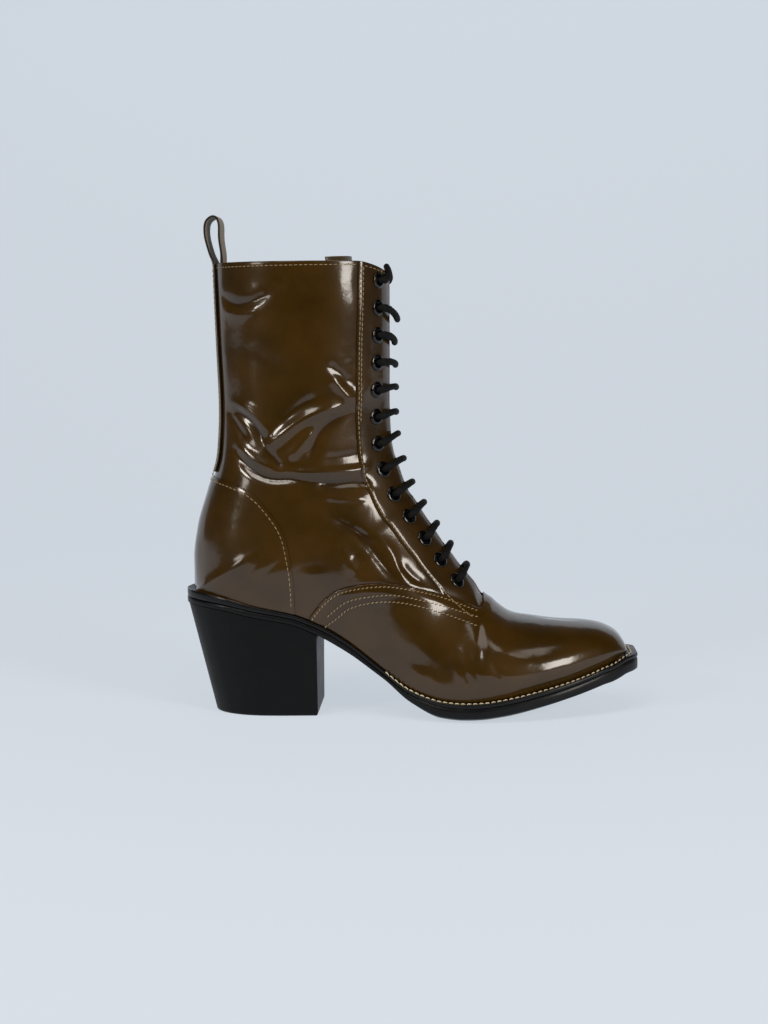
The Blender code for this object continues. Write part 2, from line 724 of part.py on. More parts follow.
def make_tongue(collection):
    """Tongue: fixed under the vamp, dropped under the throat to leave room for the lace."""
    rows = [row for row in grid_rows(first=TONGUE_ROOT_ROW)
            if row < THROAT_END + 1 or row == int(row)]
    columns = list(range(-SEAM_COLUMN, SEAM_COLUMN + 1))

    def offset(row):
        sink = min(max((row - TONGUE_ROOT_ROW) / TONGUE_DROP_ROWS, 0.0), 1.0)
        return -(WALL + GAP + TONGUE_DROP * sink)

    lines = form_grid(rows, columns, offset)
    top = np.array(lines[-1])
    lean = np.array([-TONGUE_LEAN, 0.0, TONGUE_RISE])
    lines.append([point + lean for point in top])
    lines[-1][len(columns) // 2] += np.array([0.0, 0.0, TONGUE_CROWN])
    mesh = sheet_mesh("tongue", lines)
    tongue = add_object("tongue", mesh, (0.030, 0.018, 0.008), 0.35, collection)
    thicken(tongue, TONGUE_THICKNESS, -1.0)
    return tongue


def strap_line(row, offset):
    """One row across the strap, centred on the back line and moved out by offset."""
    line = []
    for k in range(-STRAP_CELLS, STRAP_CELLS + 1):
        side = -1 if k < 0 else 1
        length = girth_length(half_girth(row, side))[-1]
        share = 1.0 - abs(k) / STRAP_CELLS * STRAP_WIDTH / 2 / length
        point, normal = form_frame(row, side, share)
        line.append(point + normal * offset)
    return line


def loop_lines():
    """Rows of the backstay strip and of the pull loop that carries on from it."""
    rows = grid_rows(first=STRIP_FOOT_ROW)
    halves = STRAP_CELLS
    lines = [strap_line(row, GAP) for row in rows]
    outer = np.array(lines[-1])
    half = STRAP_WIDTH / 2
    straight = outer[:, 0].copy()
    middle = outer[halves]
    for rise, back in LOOP_TURNS:
        flat = min(rise / LOOP_FLAT_RISE, 1.0)
        line = []
        for k in range(2 * halves + 1):
            x = middle[0] + back * LOOP_DEPTH + (straight[k] - middle[0]) * (1 - flat)
            y = outer[k, 1] + (half * (k - halves) / halves - outer[k, 1]) * flat
            line.append(np.array([x, y, middle[2] + rise * LOOP_HEIGHT]))
        lines.append(line)
    return lines


def make_backstay_loop(collection):
    """Raised strip up the back line, folded over at the collar into the pull loop."""
    lines = loop_lines()
    for part in (0.0, 0.5, 1.0):
        lines.append(strap_line(COLLAR_ROW - part * LOOP_TAIL_ROWS, -(WALL + LOOP_TAIL_GAP)))
    mesh = sheet_mesh("backstay_loop", [line[::-1] for line in lines])
    strap = add_object("backstay_loop", mesh, (0.040, 0.026, 0.011), 0.3, collection)
    thicken(strap, STRAP_THICKNESS, 1.0)
    return strap


def insole_end_room(along):
    """More room at the toe and the heel, where the wall curves in over the insole's edge."""
    toe = max((along - INSOLE_TOE_START) / (1.0 - INSOLE_TOE_START), 0.0)
    heel = max((INSOLE_HEEL_END - along) / INSOLE_HEEL_END, 0.0)
    return INSOLE_TOE_ROOM * toe + INSOLE_HEEL_ROOM * heel


def make_insole(collection):
    """Insole inside the foot of the wall, resting over the welt."""
    side_room = WALL + 3 * GAP
    rings = []
    for lift in (INSOLE_THICKNESS, 0.0):
        rings.append(plate_ring(
            lambda along: -side_room - insole_end_room(along),
            lambda along, lift=lift: feather_height(along) + lift))
    mesh = slab_mesh("insole", rings)
    return add_object("insole", mesh, (0.42, 0.33, 0.22), 0.7, collection)


def make_welt(collection):
    """Welt: a strip swept round the feather line, with a raised lip round the heel."""
    loop = []
    for index in (0, 1):
        part = []
        for along in STATIONS:
            reach = edge_values(along)[0]
            lip = WELT_LIP * min(max((LIP_END - along) / LIP_RUN, 0.0), 1.0)
            section = []
            for out, lift in (
                    (-WELT_INNER_REACH, -WELT_THICKNESS),
                    (-WELT_INNER_REACH, 0.0),
                    (min(OVERLAY_THICKNESS + 3 * GAP, reach - GAP), 0.0),
                    (reach, lip),
                    (reach, -WELT_THICKNESS)):
                x, y = outline_pair(along, out)[index]
                there = x_to_along(x)
                section.append((x, y, feather_height(there) - GAP - edge_room(there) + lift))
            part.append(section)
        loop.append(part)
    ring = loop[0] + loop[1][::-1]
    corners = len(ring[0])
    vertices = [point for section in ring for point in section]
    faces = []
    count = len(ring)
    for k in range(count):
        for c in range(corners):
            d = (c + 1) % corners
            after = (k + 1) % count
            faces.append((k * corners + c, k * corners + d, after * corners + d, after * corners + c))
    mesh = mesh_from_faces("welt", vertices, faces)
    return add_object("welt", mesh, (0.012, 0.012, 0.012), 0.25, collection)


def make_outsole(collection):
    """Outsole with a thin waist, a cambered edge and a flat tread under the ball."""
    def edge(along):
        return outsole_bottom(along) + edge_values(along)[2]

    rings = [
        plate_ring(lambda along: -WELT_INNER_REACH, outsole_top),
        plate_ring(lambda along: edge_values(along)[0], outsole_top),
        plate_ring(lambda along: edge_values(along)[0], lambda along: edge(along) + OUTSOLE_BEVEL),
        plate_ring(lambda along: edge_values(along)[0] - OUTSOLE_BEVEL, edge),
        plate_ring(lambda along: edge_values(along)[0] - tread_inset(along), outsole_bottom),
    ]
    mesh = slab_mesh("outsole", rings)
    return add_object("outsole", mesh, (0.011, 0.011, 0.012), 0.3, collection)


def tread_inset(along):
    """How far inside the sole's edge its bottom is level across, less at the heel and the toe."""
    half = min(outline_half_widths(along)[:2])
    return min(OUTSOLE_CAMBER_WIDTH, max(TREAD_SHARE * half, 2 * OUTSOLE_BEVEL))


def make_heel(collection):
    """Block heel: round at the back, straight at the breast, narrowing to the floor."""
    breast = x_to_along(HEEL_BREAST_X)
    stations = [along for along in STATIONS if along <= breast + 1e-6]
    reach = [edge_values(along)[0] - OUTSOLE_BEVEL for along in stations]
    top = []
    for along, out in zip(stations, reach):
        pair = outline_pair(along, out)
        top.append(tuple((x, y, outsole_bottom(x_to_along(x)) - GAP) for x, y in pair))
    back_x = top[-1][0][0]
    long_share = HEEL_FOOT_LENGTH / (HEEL_BREAST_X - back_x)
    widest = max(pair[1][1] - pair[0][1] for pair in top)
    wide_share = HEEL_FOOT_WIDTH / widest
    rings = [top]
    for height, inset in ((HEEL_FOOT_ROUND, 0.0), (0.0, HEEL_FOOT_ROUND)):
        ring = []
        for pair in top:
            line = []
            for x, y, _ in pair:
                shrink_x = long_share * (1 - inset / HEEL_FOOT_LENGTH)
                shrink_y = wide_share * (1 - 2 * inset / HEEL_FOOT_WIDTH)
                line.append((
                    HEEL_BREAST_X - inset / 2 + (x - HEEL_BREAST_X) * shrink_x,
                    y * shrink_y, height))
            ring.append(tuple(line))
        rings.append(ring)
    mesh = slab_mesh("heel", rings)
    return add_object("heel", mesh, (0.010, 0.010, 0.010), 0.18, collection)


def eyelet_line_row(side):
    """Rows of the eyelets on the eyelet line: evenly spaced from the collar to the throat's end."""
    rows = np.linspace(THROAT_END, COLLAR_ROW, 120)
    points = []
    there = []
    for row in rows:
        share = EYELET_LINE / girth_length(half_girth(row, side))[-1]
        dipped = dipped_row(row, 2, share)
        there.append(dipped)
        points.append(form_point(dipped, side, share=share))
    run = girth_length(np.array(points))
    spots = np.linspace(run[-1] - FIRST_EYELET_INSET, LAST_EYELET_INSET, EYELET_COUNT)
    return [float(np.interp(spot, run, there)) for spot in spots]


def surface_place(row, side, distance):
    """Point and normal of the form on a girth, at a distance from the ridge."""
    share = distance / girth_length(half_girth(row, side))[-1]
    return form_frame(row, side, share)


def eyelet_profile():
    """Half section of an eyelet, outer side top to bottom: flange, barrel and back up the bore."""
    barrel_end = -(EYELET_SEAT_HEIGHT + WALL * EYELET_BARREL_SHARE)
    profile = [
        (EYELET_BORE / 2, EYELET_FLANGE_THICKNESS),
        (EYELET_FLANGE / 2, 0.0),
        (EYELET_BARREL / 2, 0.0),
        (EYELET_BARREL / 2, barrel_end),
        (EYELET_BORE / 2, barrel_end),
    ]
    mesh = bpy.data.meshes.new("eyelet_profile")
    edges = [(k, (k + 1) % len(profile)) for k in range(len(profile))]
    mesh.from_pydata([(radius, 0.0, height) for radius, height in profile], edges, [])
    return mesh


def turn(piece, segments):
    """Screw modifier that turns a profile once round the object's Z axis."""
    modifier = piece.modifiers.new("Turned", "SCREW")
    modifier.angle = 2 * math.pi
    modifier.steps = segments
    modifier.render_steps = segments
    modifier.use_merge_vertices = True
    modifier.merge_threshold = 0.00001


def place_matrix(point, normal):
    """Matrix that stands an object's +Z on the surface's normal."""
    turn = Vector(normal).to_track_quat("Z", "Y").to_matrix().to_4x4()
    return Matrix.Translation(Vector(point)) @ turn


def make_eyelets(side, name, collection, cutters):
    """The row of eyelets on one facing. Returns one joined cutter for their holes."""
    radius = EYELET_BARREL / 2 / math.cos(math.pi / HOLE_SEGMENTS) + GAP
    drill = bmesh.new()
    for number, row in enumerate(eyelet_line_row(side), start=1):
        point, normal = surface_place(row, side, EYELET_LINE)
        piece = add_object(
            "eyelet_%s_%02d" % (name, number), eyelet_profile(), (0.01, 0.01, 0.01), 0.2,
            collection, 0.6)
        turn(piece, EYELET_SEGMENTS)
        piece.matrix_world = place_matrix(point + normal * EYELET_SEAT_HEIGHT, normal)
        bmesh.ops.create_cone(
            drill, cap_ends=True, segments=HOLE_SEGMENTS, radius1=radius, radius2=radius,
            depth=4 * WALL, matrix=place_matrix(point - normal * WALL / 2, normal))
    mesh = bpy.data.meshes.new("holes_" + name)
    drill.to_mesh(mesh)
    drill.free()
    cutter = bpy.data.objects.new("holes_" + name, mesh)
    cutters.objects.link(cutter)
    return as_cutter(cutter)


def make_lace_bars(collection):
    """Straight bars of lace, each from bore to bore over the facings and the throat."""
    left_rows = eyelet_line_row(-1)
    right_rows = eyelet_line_row(1)
    radius = LACE_DIAMETER / 2
    flange_top = EYELET_SEAT_HEIGHT + EYELET_FLANGE_THICKNESS
    high = flange_top + BAR_CLEARANCE + radius
    flat = GAP + OVERLAY_THICKNESS + BAR_CLEARANCE + radius
    steps = [
        BarStep(0.0, flange_top - BAR_BORE_DEPTH),
        BarStep(EYELET_BORE / 4, high + BAR_CREST),
        BarStep(EYELET_FLANGE / 2 + BAR_CLEARANCE + radius, high),
        BarStep(EYELET_LINE - THROAT_HALF_GAP - BAR_EDGE_INSET, flat),
    ]
    bars = []
    for number, (low_row, high_row) in enumerate(zip(left_rows, right_rows), start=1):
        path = []
        for side, row in ((-1, low_row), (1, high_row)):
            half = []
            for step in steps:
                point, normal = surface_place(row, side, EYELET_LINE - step.inward)
                half.append(point + normal * step.height)
            path.append(half)
        points = path[0] + path[1][::-1]
        curve = bpy.data.curves.new("lace_bar_%02d" % number, "CURVE")
        curve.dimensions = "3D"
        curve.bevel_depth = radius
        curve.bevel_resolution = LACE_BEVEL_RESOLUTION
        curve.use_fill_caps = True
        spline = curve.splines.new("POLY")
        spline.points.add(len(points) - 1)
        for target, point in zip(spline.points, points):
            target.co = (*point, 1.0)
        bars.append(add_object(
            "lace_bar_%02d" % number, curve, (0.012, 0.011, 0.011), 0.6, collection))
    return bars


def clear_scene():
    for piece in list(bpy.data.objects):
        bpy.data.objects.remove(piece)


def main():
    clear_scene()
    boot = bpy.data.collections.new("lace_up_ankle_boot")
    cutters = bpy.data.collections.new("cutters")
    bpy.context.scene.collection.children.link(boot)
    bpy.context.scene.collection.children.link(cutters)
    make_heel(boot)
    make_outsole(boot)
    make_welt(boot)
    make_insole(boot)
    upper = make_upper(boot)
    make_counter(boot, cutters)
    for side, name in ((-1, "lateral"), (1, "medial")):
        facing = make_facing("facing_" + name, side, boot)
        holes = make_eyelets(side, name, boot, cutters)
        cut(upper, holes)
        cut(facing, holes)
    make_tongue(boot)
    make_backstay_loop(boot)
    make_lace_bars(boot)


main()
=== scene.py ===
"""Looks of the lace-up ankle boot: polished calf upper, waxed lace, stitched welt, block heel.

Metres, +Z up, +X to the toe, +Y to the wearer's left, the inner side of this right boot.
The boot is drawn on its last: girths from the toe tip over the heel to the collar.
"""

import logging
import math
from collections import namedtuple
from dataclasses import dataclass, field
from enum import Enum

import bpy
import numpy as np
from mathutils import Matrix, Vector
from mathutils.kdtree import KDTree

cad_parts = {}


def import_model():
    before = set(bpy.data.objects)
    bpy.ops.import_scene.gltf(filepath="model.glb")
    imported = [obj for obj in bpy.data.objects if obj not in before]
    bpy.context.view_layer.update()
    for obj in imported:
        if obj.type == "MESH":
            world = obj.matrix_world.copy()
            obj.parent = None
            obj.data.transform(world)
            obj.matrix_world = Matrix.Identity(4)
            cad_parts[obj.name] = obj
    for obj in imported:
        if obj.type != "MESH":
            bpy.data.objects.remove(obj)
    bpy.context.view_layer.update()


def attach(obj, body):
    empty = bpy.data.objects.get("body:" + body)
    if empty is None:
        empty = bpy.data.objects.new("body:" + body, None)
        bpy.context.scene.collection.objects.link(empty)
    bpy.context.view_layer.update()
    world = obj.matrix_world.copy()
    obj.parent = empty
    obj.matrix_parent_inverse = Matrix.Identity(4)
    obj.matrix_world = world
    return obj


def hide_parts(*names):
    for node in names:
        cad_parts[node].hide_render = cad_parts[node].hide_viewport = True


LOG = logging.getLogger("boot")
MM = 0.001
BODY = "root"


class Side(Enum):
    """Side of the boot: which way its half girths run."""

    LATERAL = -1
    MEDIAL = 1

    @property
    def other(self) -> "Side":
        """The opposite side."""
        return Side(-self.value)

    @property
    def column(self) -> int:
        """Its column in the outline's table."""
        return (self.value + 1) // 2


# Each girth runs from the ridge (front, rise) to the feather or back line (back, climb), as
# shares of the length and of the shaft's height. Its half widths are shares of the width that
# it follows; widest, crown and side shape the bulge between.
Girth = namedtuple(
    "Girth", "front back rise climb follows lateral medial widest crown side")
GIRTHS = [
    Girth(1.000, 1.000, 0.001, 0.0, "ball", 0.119, 0.114, 0.03, 0.62, 0.60),
    Girth(0.996, 0.996, 0.019, 0.0, "ball", 0.157, 0.147, 0.06, 0.62, 0.60),
    Girth(0.985, 0.985, 0.050, 0.0, "ball", 0.202, 0.187, 0.14, 0.62, 0.60),
    Girth(0.966, 0.966, 0.085, 0.0, "ball", 0.260, 0.237, 0.22, 0.62, 0.60),
    Girth(0.937, 0.937, 0.116, 0.0, "ball", 0.326, 0.290, 0.28, 0.60, 0.58),
    Girth(0.900, 0.900, 0.140, 0.0, "ball", 0.388, 0.345, 0.29, 0.58, 0.56),
    Girth(0.850, 0.850, 0.163, 0.0, "ball", 0.450, 0.394, 0.28, 0.55, 0.55),
    Girth(0.790, 0.788, 0.192, 0.0, "ball", 0.500, 0.440, 0.28, 0.50, 0.54),
    Girth(0.737, 0.725, 0.222, 0.0, "ball", 0.530, 0.468, 0.28, 0.46, 0.52),
    Girth(0.698, 0.665, 0.264, 0.0, "ball", 0.536, 0.468, 0.28, 0.42, 0.50),
    Girth(0.668, 0.605, 0.295, 0.0, "ball", 0.520, 0.440, 0.28, 0.40, 0.48),
    Girth(0.643, 0.540, 0.325, 0.0, "ball", 0.480, 0.405, 0.29, 0.39, 0.46),
    Girth(0.603, 0.468, 0.345, 0.0, "ball", 0.440, 0.378, 0.32, 0.40, 0.46),
    Girth(0.560, 0.392, 0.348, 0.0, "seat", 0.585, 0.525, 0.35, 0.42, 0.47),
    Girth(0.528, 0.310, 0.340, 0.0, "seat", 0.570, 0.525, 0.38, 0.44, 0.48),
    Girth(0.505, 0.225, 0.340, 0.0, "seat", 0.560, 0.530, 0.41, 0.46, 0.50),
    Girth(0.488, 0.135, 0.362, 0.0, "seat", 0.550, 0.530, 0.43, 0.48, 0.52),
    Girth(0.475, 0.065, 0.395, 0.0, "seat", 0.540, 0.525, 0.44, 0.50, 0.53),
    Girth(0.466, 0.022, 0.420, 0.0, "seat", 0.535, 0.522, 0.45, 0.51, 0.54),
    Girth(0.463, 0.004, 0.438, 0.0, "seat", 0.530, 0.520, 0.45, 0.52, 0.54),
    Girth(0.461, 0.000, 0.450, 0.012, "seat", 0.527, 0.518, 0.45, 0.52, 0.55),
    Girth(0.458, 0.000, 0.490, 0.095, "seat", 0.520, 0.510, 0.46, 0.54, 0.55),
    Girth(0.456, 0.011, 0.545, 0.200, "shaft", 0.430, 0.425, 0.47, 0.56, 0.55),
    Girth(0.455, 0.035, 0.605, 0.310, "shaft", 0.425, 0.420, 0.48, 0.58, 0.55),
    Girth(0.455, 0.061, 0.670, 0.430, "shaft", 0.428, 0.423, 0.49, 0.60, 0.55),
    Girth(0.455, 0.067, 0.745, 0.575, "shaft", 0.440, 0.435, 0.50, 0.60, 0.55),
    Girth(0.455, 0.063, 0.850, 0.765, "shaft", 0.468, 0.462, 0.50, 0.60, 0.55),
    Girth(0.455, 0.058, 1.000, 1.000, "shaft", 0.500, 0.492, 0.50, 0.60, 0.55),
]

# Half widths of the feather line, as shares of the width that it follows, and its swing
Outline = namedtuple("Outline", "along follows lateral medial swing")
OUTLINE = [
    Outline(0.000, "seat", 0.000, 0.000, 0.000),
    Outline(0.006, "seat", 0.140, 0.140, 0.000),
    Outline(0.022, "seat", 0.250, 0.250, 0.000),
    Outline(0.050, "seat", 0.350, 0.350, 0.000),
    Outline(0.090, "seat", 0.427, 0.422, 0.000),
    Outline(0.140, "seat", 0.468, 0.453, 0.000),
    Outline(0.200, "seat", 0.480, 0.453, 0.000),
    Outline(0.270, "seat", 0.480, 0.425, 0.000),
    Outline(0.340, "seat", 0.485, 0.377, 0.000),
    Outline(0.410, "ball", 0.363, 0.250, 0.000),
    Outline(0.470, "ball", 0.398, 0.268, 0.000),
    Outline(0.530, "ball", 0.446, 0.321, 0.004),
    Outline(0.590, "ball", 0.488, 0.387, 0.010),
    Outline(0.650, "ball", 0.506, 0.430, 0.018),
    Outline(0.720, "ball", 0.500, 0.436, 0.030),
    Outline(0.790, "ball", 0.470, 0.412, 0.042),
    Outline(0.850, "ball", 0.424, 0.370, 0.054),
    Outline(0.900, "ball", 0.364, 0.323, 0.063),
    Outline(0.937, "ball", 0.308, 0.273, 0.069),
    Outline(0.966, "ball", 0.248, 0.225, 0.073),
    Outline(0.985, "ball", 0.196, 0.181, 0.076),
    Outline(0.996, "ball", 0.154, 0.144, 0.077),
    Outline(1.000, "ball", 0.118, 0.113, 0.077),
]

# How high the feather line lies, as shares of the heel's lift and of the toe's spring
Feather = namedtuple("Feather", "along heel toe")
FEATHER = [
    Feather(0.000, 1.000, 0.00),
    Feather(0.073, 0.965, 0.00),
    Feather(0.141, 0.903, 0.00),
    Feather(0.231, 0.830, 0.00),
    Feather(0.284, 0.745, 0.00),
    Feather(0.356, 0.568, 0.00),
    Feather(0.437, 0.307, 0.00),
    Feather(0.505, 0.108, 0.00),
    Feather(0.573, 0.016, 0.00),
    Feather(0.620, 0.000, 0.00),
    Feather(0.660, 0.000, 0.01),
    Feather(0.707, 0.000, 0.07),
    Feather(0.797, 0.000, 0.26),
    Feather(0.888, 0.000, 0.50),
    Feather(0.958, 0.000, 0.75),
    Feather(1.000, 0.000, 0.96),
    Feather(1.030, 0.000, 1.00),
]

# Reach of the sole's edge in metres, and its thickness and camber as shares
Edge = namedtuple("Edge", "along reach thickness camber")
EDGES = [
    Edge(0.000, 0.0052, 0.40, 0.00),
    Edge(0.060, 0.0036, 0.40, 0.00),
    Edge(0.220, 0.0020, 0.38, 0.00),
    Edge(0.330, 0.0012, 0.52, 0.20),
    Edge(0.440, 0.0010, 0.42, 0.40),
    Edge(0.500, 0.0022, 0.70, 0.70),
    Edge(0.570, 0.0036, 1.00, 1.00),
    Edge(0.720, 0.0042, 1.00, 1.00),
    Edge(0.900, 0.0045, 0.93, 0.70),
    Edge(1.000, 0.0060, 0.96, 0.40),
]


def monotone(knots: np.ndarray, values: np.ndarray, where: np.ndarray) -> np.ndarray:
    """Monotone cubic through a table's rows.

    Args:
        knots: Where the rows are, rising.
        values: One line of values for each knot.
        where: The places to read.

    Returns:
        One line of values for each place.
    """
    where = np.asarray(where, float)
    slopes = np.diff(values, axis=0) / np.diff(knots)[:, None]
    tangents = np.zeros_like(values)
    tangents[0] = slopes[0]
    tangents[-1] = slopes[-1]
    same_way = slopes[:-1] * slopes[1:] > 0
    total = np.where(same_way, slopes[:-1] + slopes[1:], 1.0)
    tangents[1:-1] = np.where(same_way, 2 * slopes[:-1] * slopes[1:] / total, 0.0)
    i = np.clip(np.searchsorted(knots, where) - 1, 0, len(knots) - 2)
    h = (knots[i + 1] - knots[i])[:, None]
    t = (where - knots[i])[:, None] / h
    return (values[i] * (1 + 2 * t) * (1 - t) ** 2 + tangents[i] * h * t * (1 - t) ** 2
            + values[i + 1] * t * t * (3 - 2 * t) + tangents[i + 1] * h * t * t * (t - 1))


def bezier(p0: np.ndarray, p1: np.ndarray, p2: np.ndarray, p3: np.ndarray,
           count: int) -> np.ndarray:
    """Points along cubic curves.

    Args:
        p0, p1, p2, p3: Control points, one line for each curve.
        count: Points on each curve.

    Returns:
        Array of curves by points by axes.
    """
    t = np.linspace(0.0, 1.0, count)[None, :, None]
    a, b, c, d = (p[:, None, :] for p in (p0, p1, p2, p3))
    return a * (1 - t) ** 3 + 3 * b * t * (1 - t) ** 2 + 3 * c * t * t * (1 - t) + d * t ** 3


def rise_to(value: np.ndarray, start: float, end: float) -> np.ndarray:
    """Smooth step from 0 at start to 1 at end."""
    t = np.clip((np.asarray(value, float) - start) / (end - start), 0.0, 1.0)
    return t * t * (3 - 2 * t)


def unit(vectors: np.ndarray) -> np.ndarray:
    """Vectors of length one."""
    return vectors / np.maximum(np.linalg.norm(vectors, axis=-1, keepdims=True), 1e-12)


def between(four: np.ndarray, t: np.ndarray | float) -> np.ndarray:
    """Smooth curve from the second to the third of four points in line, at t from 0 to 1.

    Args:
        four: The four points, or lines of points.
        t: Where to read the curve.

    Returns:
        The points read.
    """
    a, b, c, d = four
    return 0.5 * (2 * b + (c - a) * t + (2 * a - 5 * b + 4 * c - d) * t ** 2
                  + (3 * b - a - 3 * c + d) * t ** 3)


@dataclass
class Last:
    """The last's outer form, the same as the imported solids', read at any girth and share."""

    upper_length: float = 0.2433
    heel_setback: float = 0.0433
    shaft_height: float = 0.1837
    ball_width: float = 0.084
    seat_width: float = 0.060
    shaft_width: float = 0.071
    heel_lift: float = 0.0576
    toe_spring: float = 0.0235
    ball_feather: float = 0.0107
    throat_end: float = 10.2
    ankle_row: float = 22.0
    seat_row: float = 20.0
    collar_row: float = 27.0
    seam_distance: float = 0.0315
    eyelet_line: float = 0.0185
    collar_dip: float = 0.0085
    outline_probe: float = 0.0016
    wall_flare: float = 0.28
    foot_pull: float = 0.16
    taper_pull: float = 0.55
    taper_from: float = 0.7
    waist_pull: float = 0.5
    back_pull: float = 0.62
    back_closing: float = 0.20
    closed_climb: float = 0.012
    heel_rows: tuple[float, float] = (16.6, 23.2)
    heel_spread: float = 0.55
    heel_fade: float = 1.2
    row_step: float = 0.02
    curve_points: int = 41
    share_count: int = 240
    row_skip: int = 8
    share_skip: int = 4

    def __post_init__(self) -> None:
        """Reads the tables and draws every girth once."""
        widths = {"ball": self.ball_width, "seat": self.seat_width, "shaft": self.shaft_width}
        self.outline_knots, self.feather_knots, self.edge_knots = (
            np.array([row.along for row in table]) for table in (OUTLINE, FEATHER, EDGES))
        self.outline_values = np.array([
            (row.lateral * widths[row.follows], row.medial * widths[row.follows],
             row.swing * self.ball_width) for row in OUTLINE])
        self.feather_values = np.array([
            (row.heel * self.heel_lift + row.toe * self.toe_spring,) for row in FEATHER])
        self.edge_values = np.array([(row.reach, row.thickness, row.camber) for row in EDGES])
        self.girth_knots = np.arange(len(GIRTHS), dtype=float)
        self.girth_values = np.array([
            (row.front, row.back, row.rise, row.climb, row.lateral * widths[row.follows],
             row.medial * widths[row.follows], row.widest, row.crown, row.side)
            for row in GIRTHS])
        self.rows = np.arange(0.0, self.collar_row + self.row_step / 2, self.row_step)
        self.trees = {}
        self.points = {}
        self.lengths = {}
        for side in Side:
            self.points[side], self.lengths[side] = self.draw_girths(side)
        self.collar_half_girth = self.lengths[Side.MEDIAL][-1]

    def x_of(self, along: np.ndarray) -> np.ndarray:
        """World x of a share of the upper's length from the heel."""
        return along * self.upper_length - self.heel_setback

    def along_of(self, x: np.ndarray) -> np.ndarray:
        """Share of the upper's length from the heel at a world x."""
        return (x + self.heel_setback) / self.upper_length

    def feather(self, along: np.ndarray) -> np.ndarray:
        """Height of the upper's lower edge at shares of the length."""
        along = np.clip(along, 0.0, self.feather_knots[-1])
        return self.ball_feather + monotone(self.feather_knots, self.feather_values, along)[:, 0]

    def outline(self, along: np.ndarray) -> np.ndarray:
        """Half widths on both sides of the centre line, and the centre line's y."""
        along = np.clip(along, 0.0, 1.0)
        return monotone(self.outline_knots, self.outline_values, along)

    def edge(self, along: np.ndarray) -> np.ndarray:
        """Reach of the sole's edge, and its thickness and camber as shares."""
        return monotone(self.edge_knots, self.edge_values, np.clip(along, 0.0, 1.0))

    def draw_girths(self, side: Side) -> tuple[np.ndarray, np.ndarray]:
        """Draws all girths of one side from the ridge to the feather or back line.

        Args:
            side: The side to draw.

        Returns:
            Points by row and share, and each girth's length.
        """
        front, back, rise, climb, lateral, medial, widest, crown, flank = monotone(
            self.girth_knots, self.girth_values, self.rows).T
        index = side.column
        seat = self.feather(back)
        zero = np.zeros_like(front)
        top = np.stack([self.x_of(front), zero, seat + rise * self.shaft_height], axis=1)
        low = np.stack([self.x_of(back), zero, seat + climb * self.shaft_height], axis=1)
        swing_top = self.outline(front)[:, 2]
        swing_low = self.outline(back)[:, 2]
        chord = top - low
        length = np.linalg.norm(chord, axis=1)
        lean = chord[:, 0] / length
        half = lateral if side is Side.LATERAL else medial
        open_foot = 1.0 - np.clip(climb / self.closed_climb, 0.0, 1.0)
        corner = self.outline(back)[:, index] * open_foot
        ahead = self.outline(back + self.outline_probe / self.upper_length)[:, index]
        slope = np.maximum((ahead - corner) / self.outline_probe * lean, 0.0)
        slope = slope + self.wall_flare * (1 - lean)
        closing = np.clip(climb / self.back_closing, 0.0, 1.0)
        entry = np.stack([1 / np.hypot(1.0, slope), slope / np.hypot(1.0, slope)], axis=1)
        entry = entry * (1 - closing)[:, None]
        entry[:, 1] += closing
        pull = self.foot_pull * length * (1 - closing) + self.back_pull * half * closing
        tapered = np.maximum(pull, self.taper_pull * (half - corner) * entry[:, 1])
        pull = np.where(corner < half * self.taper_from, tapered, pull)
        crest = np.stack([length, zero], axis=1)
        shoulder = np.stack([length, crown * half], axis=1)
        waist = np.stack([widest * length, half], axis=1)
        above = waist + np.stack([flank * (1 - widest) * length, zero], axis=1)
        below = waist - np.stack([self.waist_pull * widest * length, zero], axis=1)
        foot = np.stack([zero, corner], axis=1)
        upper_part = bezier(crest, shoulder, above, waist, self.curve_points)
        lower_part = bezier(waist, below, foot + entry * pull[:, None], foot, self.curve_points)
        flat = np.concatenate([upper_part, lower_part[:, 1:]], axis=1)
        height = flat[:, :, 0] / length[:, None]
        points = low[:, None, :] + height[:, :, None] * chord[:, None, :]
        points[:, :, 1] = (side.value * flat[:, :, 1] + swing_low[:, None]
                           + (swing_top - swing_low)[:, None] * height)
        steps = np.linalg.norm(np.diff(points, axis=1), axis=2)
        run = np.concatenate([np.zeros((len(points), 1)), np.cumsum(steps, axis=1)], axis=1)
        shares = np.linspace(0.0, 1.0, self.share_count + 1)
        even = np.zeros((len(points), len(shares), 3))
        for i in range(len(points)):
            for axis in range(3):
                even[i, :, axis] = np.interp(shares * run[i, -1], run[i], points[i, :, axis])
        first, final = self.heel_rows
        near = np.nonzero((self.rows > first - 2) & (self.rows < final + 2))[0]
        apart = self.rows[near][:, None] - self.rows[near][None, :]
        weights = np.exp(-(apart / self.heel_spread) ** 2 / 2)
        weights = weights / weights.sum(axis=1, keepdims=True)
        calm = np.einsum("ab,bcd->acd", weights, even[near])
        blend = (rise_to(self.rows[near], first, first + self.heel_fade)
                 * (1 - rise_to(self.rows[near], final - self.heel_fade, final)))
        blend = blend[:, None] * rise_to(1 - shares, 0.0, 0.12)[None, :]
        even[near] += (calm - even[near]) * blend[..., None]
        return even, run[:, -1]

    def length(self, rows: np.ndarray, side: Side) -> np.ndarray:
        """Half girth's length at rows."""
        return np.interp(rows, self.rows, self.lengths[side])

    def share(self, rows: np.ndarray, distance: np.ndarray, side: Side) -> np.ndarray:
        """Share of the half girth that lies at a distance from the ridge."""
        return distance / self.length(rows, side)

